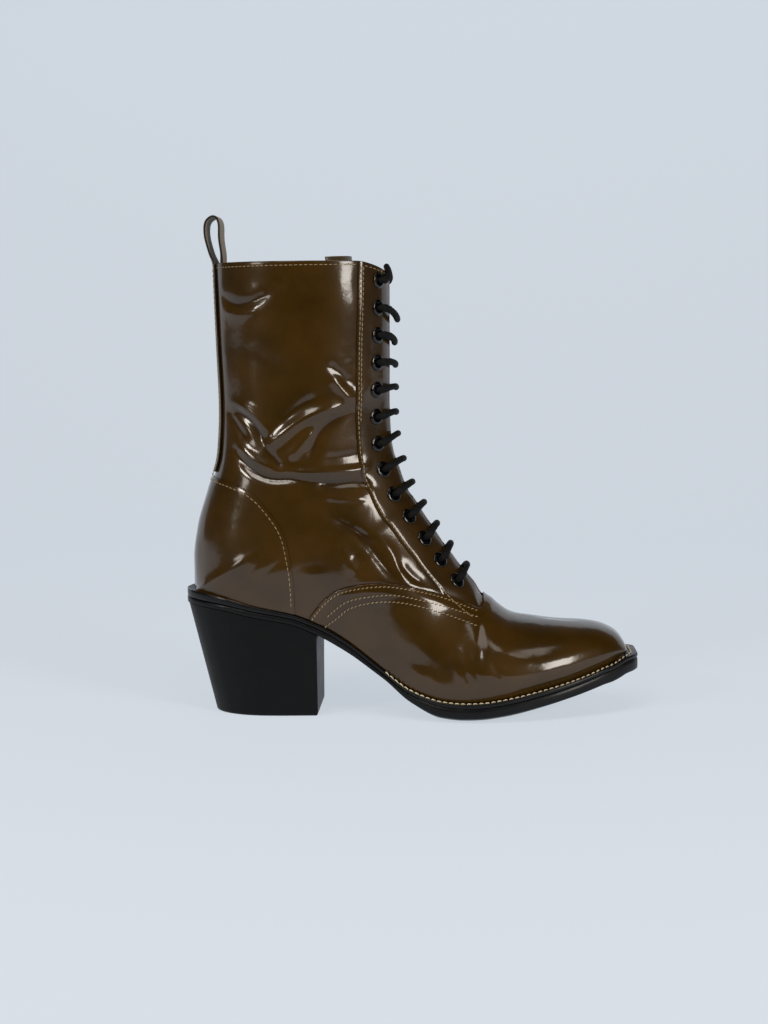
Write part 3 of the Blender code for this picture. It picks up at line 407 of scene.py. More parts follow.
    def dip(self, rows: np.ndarray, shares: np.ndarray) -> np.ndarray:
        """Lowers the collar's front corners: rows above the ankle close up at the ridge.

        Args:
            rows: Rows of the girth table.
            shares: Signed shares of the half girth.

        Returns:
            The rows, lowered.
        """
        seam_share = self.seam_distance / self.collar_half_girth
        fall = np.maximum(0.0, 1.0 - np.abs(shares) / seam_share) ** 1.3
        last_cell = (GIRTHS[-1].rise - GIRTHS[-2].rise) * self.shaft_height
        down = fall * self.collar_dip / last_cell / (self.collar_row - self.ankle_row)
        return np.where(rows <= self.ankle_row, rows,
                        self.ankle_row + (rows - self.ankle_row) * (1.0 - down))

    def place(self, rows: np.ndarray, signed: np.ndarray) -> np.ndarray:
        """Points of the form.

        Args:
            rows: Rows of the girth table.
            signed: Shares of the half girth, below 0 on the lateral side. Beyond 1 they go
                on round the back line where the girth closes, and else stop at the feather.

        Returns:
            Points, one for each pair.
        """
        rows, signed = np.broadcast_arrays(np.asarray(rows, float), np.asarray(signed, float))
        rows = np.clip(rows, 0.0, self.collar_row)
        closed = rows >= self.seat_row
        signed = np.where(closed & (signed > 1), signed - 2, signed)
        signed = np.where(closed & (signed < -1), signed + 2, signed)
        signed = np.clip(signed, -1.0, 1.0)
        r = rows / self.row_step
        i = np.clip(r.astype(int), 0, len(self.rows) - 2)
        fr = (r - i)[..., None]
        s = np.abs(signed) * self.share_count
        j = np.clip(s.astype(int), 0, self.share_count - 1)
        fs = (s - j)[..., None]
        found = np.zeros(rows.shape + (3,))
        for side in Side:
            table = self.points[side]
            here = (table[i, j] * (1 - fr) * (1 - fs) + table[i + 1, j] * fr * (1 - fs)
                    + table[i, j + 1] * (1 - fr) * fs + table[i + 1, j + 1] * fr * fs)
            found = np.where(((signed < 0) == (side is Side.LATERAL))[..., None], here, found)
        return found

    def normal(self, rows: np.ndarray, signed: np.ndarray) -> np.ndarray:
        """Outward normals of the form at rows and signed shares.

        Args:
            rows: Rows of the girth table.
            signed: Signed shares of the half girth.

        Returns:
            Normals, one for each pair.
        """
        row_step = 0.09
        share_step = 0.012
        along = self.place(rows + row_step, signed) - self.place(rows - row_step, signed)
        across = self.place(rows, signed + share_step) - self.place(rows, signed - share_step)
        return unit(np.cross(across, along))

    def find(self, flat: np.ndarray, side: Side) -> tuple[np.ndarray, np.ndarray]:
        """Where the form is met by lines of sight across the boot.

        Args:
            flat: Side-view places (x, z).
            side: The side that is met.

        Returns:
            Rows and signed shares of the places met.
        """
        if side not in self.trees:
            table = self.points[side][::self.row_skip, ::self.share_skip]
            tree = KDTree(table.shape[0] * table.shape[1])
            for k, point in enumerate(table.reshape(-1, 3)):
                tree.insert((point[0], 0.0, point[2]), k)
            tree.balance()
            self.trees[side] = (tree, table.shape[1])
        tree, wide = self.trees[side]
        near = np.array([tree.find((x, 0.0, z))[1] for x, z in flat])
        rows = (near // wide) * self.row_skip * self.row_step
        signed = (near % wide) * self.share_skip / self.share_count * side.value
        for _ in range(6):  # Newton steps from the nearest table point
            here = self.place(rows, signed)[:, [0, 2]]
            by_row = (self.place(rows + 0.05, signed) - self.place(rows - 0.05, signed)) / 0.1
            by_share = (self.place(rows, signed + 0.01) - self.place(rows, signed - 0.01)) / 0.02
            a, c = by_row[:, 0], by_row[:, 2]
            b, d = by_share[:, 0], by_share[:, 2]
            det = a * d - b * c
            det = np.where(np.abs(det) < 1e-9, 1e-9, det)
            miss = np.asarray(flat) - here
            rows = rows + np.clip((d * miss[:, 0] - b * miss[:, 1]) / det, -0.4, 0.4)
            signed = signed + np.clip((a * miss[:, 1] - c * miss[:, 0]) / det, -0.04, 0.04)
            rows = np.clip(rows, 0.0, self.collar_row)
            signed = side.value * np.clip(signed * side.value, 0.0, 1.0)
        return rows, signed


# Creases: height, width and side-view path (x, z), all in millimetres
Stroke = namedtuple("Stroke", "height width path")
LATERAL_STROKES = [
    # Star over the ankle: an arc, its left arm, and the arm that runs down
    Stroke(-1.5, 2.2, [(-20, 169), (-15, 169), (-8, 164), (-3, 157), (-1, 151)]),
    Stroke(1.0, 2.6, [(-17, 174), (-8, 170), (0, 162), (4, 156)]),
    Stroke(-0.9, 2.0, [(-20, 168), (-16, 161), (-11, 154)]),
    Stroke(-1.0, 1.8, [(-1, 151), (4, 145), (10, 138)]),
    # Ridge that rises to the facing, and the trough under it
    Stroke(1.9, 3.2, [(1, 149), (7, 155), (19, 164), (32, 170), (45, 173)]),
    Stroke(-1.5, 3.0, [(24, 141), (27, 152), (31, 159), (38, 165), (46, 169)]),
    Stroke(1.2, 3.6, [(28, 160), (20, 152), (12, 143)]),
    Stroke(-0.8, 3.0, [(8, 162), (18, 171), (30, 178)]),
    # Crescent fold over the counter, and the fold that carries on to the facing
    Stroke(-1.7, 2.2, [(-18, 148), (-11, 140), (-3, 135), (5, 133), (14, 133), (25, 131)]),
    Stroke(1.3, 2.6, [(-16, 153), (-9, 146), (-1, 141), (6, 138)]),
    Stroke(1.6, 2.3, [(10, 137), (22, 136.5), (38, 136.5), (53, 138), (60, 145)]),
    Stroke(-1.6, 2.2, [(26, 131), (38, 130), (50, 130.5), (60, 128)]),
    Stroke(-0.6, 3.5, [(30, 143), (42, 144), (54, 146)]),
    # Dents under the shaft's bright band and near the collar
    Stroke(1.0, 3.0, [(36, 190), (42, 182), (49, 174)]),
    Stroke(-0.9, 3.0, [(34, 196), (41, 190), (48, 182)]),
    Stroke(-0.7, 4.0, [(46, 200), (47, 190), (51, 178)]),
    Stroke(-1.0, 2.6, [(-24, 233), (-16, 228), (-6, 229), (6, 235)]),
    Stroke(0.6, 2.6, [(-23, 226), (-14, 223), (0, 226)]),
    Stroke(-0.5, 3.0, [(8, 243), (11, 240), (14, 237)]),
    Stroke(-0.5, 3.0, [(20, 243), (23, 240), (25, 236)]),
    Stroke(-0.5, 7.0, [(-12, 205), (2, 196), (14, 190)]),
    # Creases where the ankle bends, and their run down the instep
    Stroke(1.2, 3.4, [(28, 124), (42, 122), (57, 121)]),
    Stroke(-1.1, 2.4, [(36, 112), (50, 104), (64, 97)]),
    Stroke(-1.1, 2.6, [(48, 108), (56, 97), (66, 84), (75, 75)]),
    Stroke(1.0, 2.8, [(60, 102), (68, 93), (73, 82), (78, 74)]),
    Stroke(-0.8, 2.4, [(72, 88), (79, 80), (88, 73)]),
    Stroke(-0.9, 4.5, [(47, 92), (51, 89), (55, 86)]),
    Stroke(0.8, 3.0, [(40, 99), (44, 90), (50, 80)]),
    Stroke(-0.5, 6.0, [(24, 104), (27, 92), (28, 80)]),
    # Bend of the forefoot: shallow folds over the vamp's side
    Stroke(-0.45, 1.6, [(117, 54), (116.5, 42), (117, 26)]),
    Stroke(-0.35, 1.3, [(103, 42), (107, 32), (112, 20)]),
    Stroke(-0.30, 1.2, [(110, 40), (113, 30), (119, 19)]),
    Stroke(0.30, 1.4, [(100, 40), (104, 30), (107, 21)]),
    Stroke(-0.35, 1.5, [(122, 44), (124, 33), (130, 22)]),
    Stroke(0.35, 4.0, [(124, 42), (136, 36), (148, 31)]),
    Stroke(-0.5, 5.0, [(60, 40), (76, 34), (92, 28)]),
]
MEDIAL_STROKES = [
    Stroke(-1.3, 2.4, [(-18, 164), (-8, 158), (2, 152), (12, 149)]),
    Stroke(1.2, 3.0, [(-14, 170), (0, 163), (16, 158), (30, 160)]),
    Stroke(-1.5, 2.4, [(-16, 143), (-6, 137), (8, 134), (24, 135), (40, 138)]),
    Stroke(1.3, 2.6, [(-8, 148), (6, 142), (24, 142), (44, 147)]),
    Stroke(-1.2, 2.4, [(14, 128), (30, 126), (48, 130), (58, 134)]),
    Stroke(1.2, 3.2, [(22, 171), (34, 178), (44, 190)]),
    Stroke(-0.9, 3.0, [(16, 176), (28, 184), (38, 196)]),
    Stroke(1.0, 3.2, [(26, 118), (42, 116), (56, 119)]),
    Stroke(-1.0, 2.6, [(34, 108), (48, 100), (62, 92), (74, 80)]),
    Stroke(0.9, 3.0, [(46, 96), (58, 88), (70, 74)]),
    Stroke(-0.6, 5.0, [(-14, 214), (2, 206), (16, 208)]),
    Stroke(-0.5, 6.0, [(30, 222), (38, 210), (42, 198)]),
    Stroke(-0.35, 1.4, [(104, 42), (108, 32), (112, 22)]),
    Stroke(-0.35, 1.4, [(114, 44), (117, 34), (121, 24)]),
    Stroke(0.35, 3.0, [(122, 42), (134, 36), (146, 31)]),
]


def curve_through(path: np.ndarray, step: float) -> np.ndarray:
    """Evenly spaced points on a smooth curve through a path's points.

    Args:
        path: Points, of any number of axes.
        step: Spacing of the points.

    Returns:
        The points.
    """
    path = np.asarray(path, float)
    padded = np.vstack([2 * path[0] - path[1], path, 2 * path[-1] - path[-2]])
    t = np.linspace(0.0, 1.0, 24, endpoint=False)[:, None]
    parts = [between(padded[k:k + 4], t) for k in range(len(path) - 1)]
    return even_points(np.vstack(parts + [path[-1:]]), step)


def run_along(line: np.ndarray) -> np.ndarray:
    """Distance run along a line of points, from nought at the first."""
    return np.concatenate([[0.0], np.cumsum(np.linalg.norm(np.diff(line, axis=0), axis=1))])


def even_points(dense: np.ndarray, step: float) -> np.ndarray:
    """Points at even steps along a dense line of points.

    Args:
        dense: The line's points.
        step: Spacing of the new points.

    Returns:
        The new points, both ends among them.
    """
    run = run_along(dense)
    count = max(int(round(run[-1] / step)), 1)
    where = np.linspace(0.0, run[-1], count + 1)
    return np.stack([np.interp(where, run, axis) for axis in dense.T], axis=1)


@dataclass
class Creases:
    """Creases and soft dents of the worn leather, drawn on the side view."""

    sample_step: float = 0.5
    reach: float = 3.2
    swell: float = 0.35

    def __post_init__(self) -> None:
        """Samples each stroke once."""
        self.strokes = {Side.LATERAL: [], Side.MEDIAL: []}
        for side, table in ((Side.LATERAL, LATERAL_STROKES), (Side.MEDIAL, MEDIAL_STROKES)):
            for stroke in table:
                line = curve_through(stroke.path, self.sample_step)
                self.strokes[side].append((stroke.height, stroke.width, line))

    def field(self, flat: np.ndarray, side: Side) -> np.ndarray:
        """Height of the creases at side-view places.

        Args:
            flat: Places (x, z) in millimetres.
            side: The side whose strokes count.

        Returns:
            Heights in millimetres.
        """
        x, z = flat.T
        total = self.swell * (np.sin(x * 0.13 + z * 0.05)
                              * np.sin(z * 0.085 - x * 0.03 + side.value))
        for height, width, line in self.strokes[side]:
            low = line.min(axis=0) - self.reach * width
            high = line.max(axis=0) + self.reach * width
            near = np.nonzero(np.all((flat > low) & (flat < high), axis=1))[0]
            if not len(near):
                continue
            gaps = flat[near][:, None, :] - line[None, :, :]
            squared = (gaps ** 2).sum(axis=2)
            best = squared.argmin(axis=1)
            distance = np.sqrt(squared[np.arange(len(near)), best])
            t = best / max(len(line) - 1, 1)
            taper = rise_to(t, 0.0, 0.25) * rise_to(1 - t, 0.0, 0.25)
            total[near] += height * (0.25 + 0.75 * taper) * np.exp(-(distance / width) ** 1.7)
        return total

    def lift(self, last: Last, points: np.ndarray, rows: np.ndarray,
             signed: np.ndarray) -> np.ndarray:
        """Height of the creases on the form, faded where the leather is held.

        Args:
            last: The form.
            points: Points of the form.
            rows: Their rows.
            signed: Their signed shares.

        Returns:
            Heights in metres, outward.
        """
        shape = rows.shape
        flat = points[..., [0, 2]].reshape(-1, 2) / MM
        lateral = rise_to(-points[..., 1].ravel(), -3 * MM, 3 * MM)
        height = self.field(flat, Side.LATERAL) * lateral
        height += self.field(flat, Side.MEDIAL) * (1 - lateral)
        rows = rows.ravel()
        share = np.abs(signed).ravel()
        length = np.where(lateral > 0.5, last.length(rows, Side.LATERAL),
                          last.length(rows, Side.MEDIAL))
        distance = share * length
        throat = rise_to(distance, 22.5 * MM, 33 * MM)
        free = np.where(rows > 8.5, throat, throat + (1 - throat) * rise_to(8.5 - rows, 0, 2))
        foot = np.where(rows < last.seat_row, rise_to((1 - share) * length, 2 * MM, 12 * MM), 1.0)
        back = np.where(rows >= last.seat_row - 1,
                        rise_to((1 - share) * length, 9 * MM, 17 * MM), 1.0)
        collar = 0.25 + 0.75 * rise_to(last.collar_row - rows, 0.0, 0.35)
        return (height * free * foot * back * collar * MM).reshape(shape)


def linear(code: str) -> tuple[float, float, float, float]:
    """Linear colour of an sRGB hex code.

    Args:
        code: A colour such as #aabbcc.

    Returns:
        Red, green, blue and alpha.
    """
    parts = [int(code[k:k + 2], 16) / 255 for k in (1, 3, 5)]
    made = [p / 12.92 if p <= 0.04045 else ((p + 0.055) / 1.055) ** 2.4 for p in parts]
    return (*made, 1.0)


def per_metre(size_mm: float) -> float:
    """Scale of a pattern whose features are that many millimetres across."""
    return 1.0 / (size_mm * MM)


def add_node(tree: bpy.types.NodeTree, kind: str, settings: dict | None = None,
             links: dict | None = None) -> bpy.types.Node:
    """Adds a node with its settings and links.

    Args:
        tree: The node tree.
        kind: The node's type.
        settings: Values by property name, or by input name or number.
        links: Source sockets by input name or number.

    Returns:
        The node.
    """
    node = tree.nodes.new(kind)
    for name, value in (settings or {}).items():
        if isinstance(name, str) and name in node.bl_rna.properties:
            setattr(node, name, value)
        else:
            node.inputs[name].default_value = value
    for name, source in (links or {}).items():
        tree.links.new(source, node.inputs[name])
    return node


def new_material(name: str) -> tuple[bpy.types.Material, bpy.types.NodeTree, bpy.types.Node]:
    """Empty material, its tree and its Principled shader.

    Args:
        name: Its name.

    Returns:
        The material, the tree and the shader.
    """
    material = bpy.data.materials.new(name)
    material.use_nodes = True
    tree = material.node_tree
    return material, tree, tree.nodes["Principled BSDF"]


def settle(shader: bpy.types.Node, values: dict) -> None:
    """Sets a shader's inputs by name."""
    for name, value in values.items():
        shader.inputs[name].default_value = value


def vary(tree: bpy.types.NodeTree, shader: bpy.types.Node, pattern: bpy.types.NodeSocket,
         colours: tuple[str, str], spread: tuple[float, float], rough: tuple[float, float],
         rough_spread: tuple[float, float] = (0.3, 0.7)) -> bpy.types.NodeSocket:
    """Varies a finish's colour and roughness with one pattern.

    Args:
        tree: The node tree.
        shader: Its Principled shader, whose colour and roughness are linked.
        pattern: The pattern's socket.
        colours: The two colours, as sRGB hex codes.
        spread: Pattern values at which they are pure.
        rough: The two roughnesses.
        rough_spread: Pattern values at which they are reached.

    Returns:
        The colour's socket.
    """
    share = add_node(tree, "ShaderNodeMapRange", {
        "From Min": spread[0], "From Max": spread[1]}, {"Value": pattern}).outputs[0]
    colour = add_node(tree, "ShaderNodeMix", {
        "data_type": "RGBA", 6: linear(colours[0]), 7: linear(colours[1])}, {0: share}).outputs[2]
    tree.links.new(colour, shader.inputs["Base Color"])
    roughness = add_node(tree, "ShaderNodeMapRange", {
        "From Min": rough_spread[0], "From Max": rough_spread[1],
        "To Min": rough[0], "To Max": rough[1]}, {"Value": pattern}).outputs[0]
    tree.links.new(roughness, shader.inputs["Roughness"])
    return colour


@dataclass(frozen=True)
class PolishedCalf:
    """Polished box calf under a clear finish: near-patent gloss over fine broken grain."""

    name: str
    deep: str
    warm: str
    # Colour painted into the crease troughs as shade, not a colour of the hide
    crease: str
    gloss: float = 0.13
    base_roughness: float = 0.40
    coat: float = 1.0
    peel_mm: float = 9.0
    grain_mm: float = 0.9
    wrinkle_mm: float = 3.2
    mottle_mm: float = 28.0

    def make(self) -> bpy.types.Material:
        """Builds the finish.

        Returns:
            The material. Mottling gives the eye a dyed hide; the darker creases are painted shade
            in the troughs, and the peel and wrinkle bumps break the lamps' edges as on thin coated
            leather.
        """
        material, tree, shader = new_material(self.name)
        place = add_node(tree, "ShaderNodeTexCoord").outputs["Object"]
        mottle = add_node(tree, "ShaderNodeTexNoise", {
            "Scale": per_metre(self.mottle_mm), "Detail": 4.0, "Roughness": 0.55}, {
            "Vector": place}).outputs["Fac"]
        fold = add_node(tree, "ShaderNodeAttribute", {"attribute_name": "fold"}).outputs["Fac"]
        hide = vary(tree, shader, mottle, (self.deep, self.warm), (0.35, 0.65),
                    (self.base_roughness - 0.05, self.base_roughness + 0.07))
        # Troughs from 0.2 to 2.2 mm deep take up the crease colour, a painted shade
        trough_shade = add_node(tree, "ShaderNodeMapRange", {"From Min": -0.2, "From Max": -2.2}, {
            "Value": fold}).outputs[0]
        colour = add_node(tree, "ShaderNodeMix", {
            "data_type": "RGBA", 7: linear(self.crease)}, {0: trough_shade, 6: hide}).outputs[2]
        tree.links.new(colour, shader.inputs["Base Color"])
        peel = add_node(tree, "ShaderNodeTexNoise", {
            "Scale": per_metre(self.peel_mm), "Detail": 2.0, "Roughness": 0.4}, {
            "Vector": place}).outputs["Fac"]
        wrinkle = add_node(tree, "ShaderNodeTexNoise", {
            "Scale": per_metre(self.wrinkle_mm), "Detail": 3.0, "Roughness": 0.6,
            "Distortion": 1.2}, {"Vector": place}).outputs["Fac"]
        # Real pores are a quarter of this; drawn coarser so that they show
        grain = add_node(tree, "ShaderNodeTexVoronoi", {
            "feature": "SMOOTH_F1", "Scale": per_metre(self.grain_mm)}, {
            "Vector": place}).outputs["Distance"]
        first = add_node(tree, "ShaderNodeBump", {"Strength": 0.5, "Distance": 0.30 * MM},
                         {"Height": peel})
        second = add_node(tree, "ShaderNodeBump", {"Strength": 0.28, "Distance": 0.06 * MM},
                          {"Height": wrinkle, "Normal": first.outputs[0]})
        third = add_node(tree, "ShaderNodeBump", {"Strength": 0.25, "Distance": 0.02 * MM},
                         {"Height": grain, "Normal": second.outputs[0]})
        tree.links.new(third.outputs[0], shader.inputs["Normal"])
        tree.links.new(second.outputs[0], shader.inputs["Coat Normal"])
        settle(shader, {"IOR": 1.48, "Specular IOR Level": 0.12, "Coat Weight": self.coat,
                        "Coat Roughness": self.gloss, "Coat IOR": 1.5})
        return material


@dataclass(frozen=True)
class PlainHide:
    """Uncoated leather or leatherboard: soft broad sheen over a visible nap or grain."""

    name: str
    deep: str
    warm: str
    roughness: float = 0.6
    grain_mm: float = 1.1
    depth_mm: float = 0.06
    coat: float = 0.0

    def make(self) -> bpy.types.Material:
        """Builds the finish; its grain shows as small shaded cells.

        Returns:
            The material.
        """
        material, tree, shader = new_material(self.name)
        place = add_node(tree, "ShaderNodeTexCoord").outputs["Object"]
        tone = add_node(tree, "ShaderNodeTexNoise", {
            "Scale": per_metre(12.0), "Detail": 5.0, "Roughness": 0.6},
            {"Vector": place}).outputs["Fac"]
        cells = add_node(tree, "ShaderNodeTexVoronoi", {
            "feature": "SMOOTH_F1", "Scale": per_metre(self.grain_mm)},
            {"Vector": place}).outputs["Distance"]
        vary(tree, shader, tone, (self.deep, self.warm), (0.3, 0.7),
             (self.roughness - 0.06, self.roughness + 0.06))
        bump = add_node(tree, "ShaderNodeBump", {
            "Strength": 0.6, "Distance": self.depth_mm * MM}, {"Height": cells})
        tree.links.new(bump.outputs[0], shader.inputs["Normal"])
        settle(shader, {"Specular IOR Level": 0.3, "Coat Weight": self.coat,
                        "Coat Roughness": 0.2})
        return material


@dataclass(frozen=True)
class InkedEdge:
    """Stacked leather or rubber, inked black and burnished: satin with faint lift lines."""

    name: str
    dark: str
    light: str
    roughness: float = 0.32
    lift_mm: float = 4.2
    line_depth_mm: float = 0.03
    coat: float = 0.35

    def make(self) -> bpy.types.Material:
        """Builds the finish; scuffs show as slightly lighter, duller patches.

        Returns:
            The material.
        """
        material, tree, shader = new_material(self.name)
        place = add_node(tree, "ShaderNodeTexCoord").outputs["Object"]
        scuff = add_node(tree, "ShaderNodeTexNoise", {
            "Scale": per_metre(14.0), "Detail": 6.0, "Roughness": 0.65},
            {"Vector": place}).outputs["Fac"]
        lifts = add_node(tree, "ShaderNodeTexWave", {
            "wave_type": "BANDS", "bands_direction": "Z", "wave_profile": "SIN",
            "Scale": per_metre(self.lift_mm) / 3.2, "Distortion": 0.6, "Detail": 1.0,
            "Detail Scale": 0.4}, {"Vector": place}).outputs["Fac"]
        fine = add_node(tree, "ShaderNodeTexNoise", {
            "Scale": per_metre(0.8), "Detail": 3.0}, {"Vector": place}).outputs["Fac"]
        vary(tree, shader, scuff, (self.dark, self.light), (0.45, 0.75),
             (self.roughness - 0.05, self.roughness + 0.1))
        first = add_node(tree, "ShaderNodeBump", {
            "Strength": 0.5, "Distance": self.line_depth_mm * MM}, {"Height": lifts})
        second = add_node(tree, "ShaderNodeBump", {"Strength": 0.4, "Distance": 0.03 * MM},
                          {"Height": fine, "Normal": first.outputs[0]})
        tree.links.new(second.outputs[0], shader.inputs["Normal"])
        settle(shader, {"Specular IOR Level": 0.16, "Coat Weight": self.coat,
                        "Coat Roughness": 0.18})
        return material


@dataclass(frozen=True)
class Enamel:
    """Brass eyelet dipped in black enamel: hard gloss with tiny white glints."""

    name: str
    colour: str
    rubbed: str = "#2b2a29"

    def make(self) -> bpy.types.Material:
        """Builds the finish; rubbed rims are a touch lighter.

        Returns:
            The material.
        """
        material, tree, shader = new_material(self.name)
        place = add_node(tree, "ShaderNodeTexCoord").outputs["Object"]
        rub = add_node(tree, "ShaderNodeTexNoise", {
            "Scale": per_metre(2.5), "Detail": 4.0}, {"Vector": place}).outputs["Fac"]
        vary(tree, shader, rub, (self.colour, self.rubbed), (0.5, 0.8), (0.16, 0.28), (0.4, 0.7))
        settle(shader, {"Specular IOR Level": 0.2, "Coat Weight": 0.55, "Coat Roughness": 0.05})
        return material


@dataclass(frozen=True)
class Yarn:
    """Waxed twisted or braided thread: matt fibres with a faint waxy sheen."""

    name: str
    deep: str
    light: str
    roughness: float = 0.62
    sheen: float = 0.2
    fibre_mm: float = 0.5

    def make(self) -> bpy.types.Material:
        """Builds the finish; fine noise stands for the fibres.

        Returns:
            The material.
        """
        material, tree, shader = new_material(self.name)
        place = add_node(tree, "ShaderNodeTexCoord").outputs["Object"]
        fibre = add_node(tree, "ShaderNodeTexNoise", {
            "Scale": per_metre(self.fibre_mm), "Detail": 3.0}, {"Vector": place}).outputs["Fac"]
        vary(tree, shader, fibre, (self.deep, self.light), (0.35, 0.65),
             (self.roughness - 0.08, self.roughness + 0.08))
        bump = add_node(tree, "ShaderNodeBump", {"Strength": 0.5, "Distance": 0.06 * MM},
                        {"Height": fibre})
        tree.links.new(bump.outputs[0], shader.inputs["Normal"])
        settle(shader, {"Specular IOR Level": 0.2, "Sheen Weight": self.sheen})
        return material


def grid_faces(rows: int, columns: int) -> np.ndarray:
    """Triangles of a grid of points, wound with columns first, then rows.

    Args:
        rows: How many lines of points.
        columns: Points in a line.

    Returns:
        The triangles, as vertex numbers.
    """
    a = (np.arange(rows - 1)[:, None] * columns + np.arange(columns - 1)[None, :]).ravel()
    first = np.stack([a, a + 1, a + columns + 1], axis=1)
    second = np.stack([a, a + columns + 1, a + columns], axis=1)
    return np.vstack([first, second])


def clip(values: np.ndarray, triangles: np.ndarray,
         keep: np.ndarray) -> tuple[np.ndarray, np.ndarray]:
    """Cuts a sheet along the line where a field is nought, and keeps its positive part.

    Args:
        values: A line of values for each vertex, its position first.
        triangles: The sheet's triangles.
        keep: The field at each vertex.

    Returns:
        Values and triangles of the kept part.
    """
    inside = keep >= 0
    count = inside[triangles].sum(axis=1)
    kept = triangles[count == 3].tolist()
    made = {}
    extra = []

    def crossing(a: int, b: int) -> int:
        """New vertex on an edge where the field is nought.

        Args:
            a: Vertex at one end of the edge.
            b: Vertex at the other end.

        Returns:
            The new vertex's number.
        """
        key = (min(a, b), max(a, b))
        if key not in made:
            t = keep[key[0]] / (keep[key[0]] - keep[key[1]])
            extra.append(values[key[0]] + (values[key[1]] - values[key[0]]) * t)
            made[key] = len(values) + len(extra) - 1
        return made[key]

    for triangle in triangles[(count == 1) | (count == 2)]:
        ring = []
        for k in range(3):
            a, b = int(triangle[k]), int(triangle[(k + 1) % 3])
            if inside[a]:
                ring.append(a)
            if inside[a] != inside[b]:
                ring.append(crossing(a, b))
        for k in range(1, len(ring) - 1):
            kept.append([ring[0], ring[k], ring[k + 1]])
    everything = np.vstack([values, np.array(extra)]) if extra else values
    used, back = np.unique(np.array(kept).ravel(), return_inverse=True)
    return everything[used], back.reshape(-1, 3)


def add_piece(name: str, points: np.ndarray, faces: np.ndarray, materials: list,
              fold: np.ndarray | None = None,
              sharp_degrees: float = 180.0) -> bpy.types.Object:
    """Adds a mesh piece that rides on the boot.

    Args:
        name: The piece's name.
        points: Its vertices.
        faces: Its faces, as vertex numbers.
        materials: Its materials.
        fold: Crease height of each vertex in millimetres, read by the calf finish to paint shade
            into its troughs.
        sharp_degrees: Edges that turn by more are drawn sharp.

    Returns:
        The object.
    """
    mesh = bpy.data.meshes.new(name)
    mesh.from_pydata(np.asarray(points).tolist(), [], np.asarray(faces).tolist())
    for material in materials:
        mesh.materials.append(material)
    if fold is not None:
        attribute = mesh.attributes.new("fold", "FLOAT", "POINT")
        attribute.data.foreach_set("value", np.asarray(fold, dtype=np.float32))
    mesh.polygons.foreach_set("use_smooth", np.ones(len(mesh.polygons), dtype=bool))
    mesh.validate()
    mesh.update()
    if sharp_degrees < 180.0:
        mesh.set_sharp_from_angle(angle=math.radians(sharp_degrees))
    piece = bpy.data.objects.new(name, mesh)
    bpy.context.scene.collection.objects.link(piece)
    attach(piece, BODY)
    LOG.info("%s: %d faces", name, len(mesh.polygons))
    return piece


def add_modifier(piece: bpy.types.Object, kind: str, **settings: object) -> bpy.types.Modifier:
    """Adds a modifier with its settings.

    Args:
        piece: The piece.
        kind: The modifier's type.
        settings: Values by property name.

    Returns:
        The modifier.
    """
    modifier = piece.modifiers.new(kind.title(), kind)
    for name, value in settings.items():
        setattr(modifier, name, value)
    return modifier


def tube_faces(rings: int, sides: int) -> np.ndarray:
    """Faces of a tube, its points given ring by ring.

    Args:
        rings: How many rings.
        sides: Points in a ring.

    Returns:
        The faces, as vertex numbers.
    """
    start = np.repeat(np.arange(rings - 1) * sides, sides)
    i = np.tile(np.arange(sides), rings - 1)
    j = (i + 1) % sides
    return np.stack([start + i, start + j, start + sides + j, start + sides + i], axis=1)


def soften(piece: bpy.types.Object, width_mm: float, degrees: float = 55.0,
           segments: int = 2) -> None:
    """Rounds the edges that turn by more than an angle."""
    add_modifier(piece, "BEVEL", width=width_mm * MM, segments=segments, limit_method="ANGLE",
                 angle_limit=math.radians(degrees))


def smooth_lines(lines: np.ndarray, per: int) -> np.ndarray:
    """Adds lines of points between lines, on smooth curves through them.

    Args:
        lines: Array of lines by anything.
        per: Steps between two lines.

    Returns:
        The lines with those between.
    """
    lines = np.asarray(lines, float)
    padded = np.concatenate([2 * lines[:1] - lines[1:2], lines, 2 * lines[-1:] - lines[-2:-1]])
    made = [between(padded[k:k + 4], t) for k in range(len(lines) - 1)
            for t in np.linspace(0.0, 1.0, per, endpoint=False)]
    return np.array(made + [lines[-1]])


def signed_distance(flat: np.ndarray, edge: np.ndarray, closing: list) -> np.ndarray:
    """Distance to an open side-view edge, above 0 inside the outline that it closes.

    Args:
        flat: Places (x, z) in millimetres.
        edge: The edge's points.
        closing: Far points that close the outline.

    Returns:
        Distances in millimetres.
    """
    best = np.full(len(flat), 1e9)
    batch = 40  # Edge points at a time, to spare memory
    for start in range(0, len(edge), batch):
        gaps = flat[:, None, :] - edge[None, start:start + batch, :]
        best = np.minimum(best, (gaps ** 2).sum(axis=2).min(axis=1))
    ring = np.vstack([edge, np.array(closing, float)])
    inside = np.zeros(len(flat), dtype=bool)
    for (x0, z0), (x1, z1) in zip(ring, np.roll(ring, -1, axis=0)):
        if z0 == z1:
            continue
        spans = (flat[:, 1] > z0) != (flat[:, 1] > z1)
        cross = x0 + (flat[:, 1] - z0) / (z1 - z0) * (x1 - x0)
        inside ^= spans & (flat[:, 0] < cross)
    return np.where(inside, 1.0, -1.0) * np.sqrt(best)


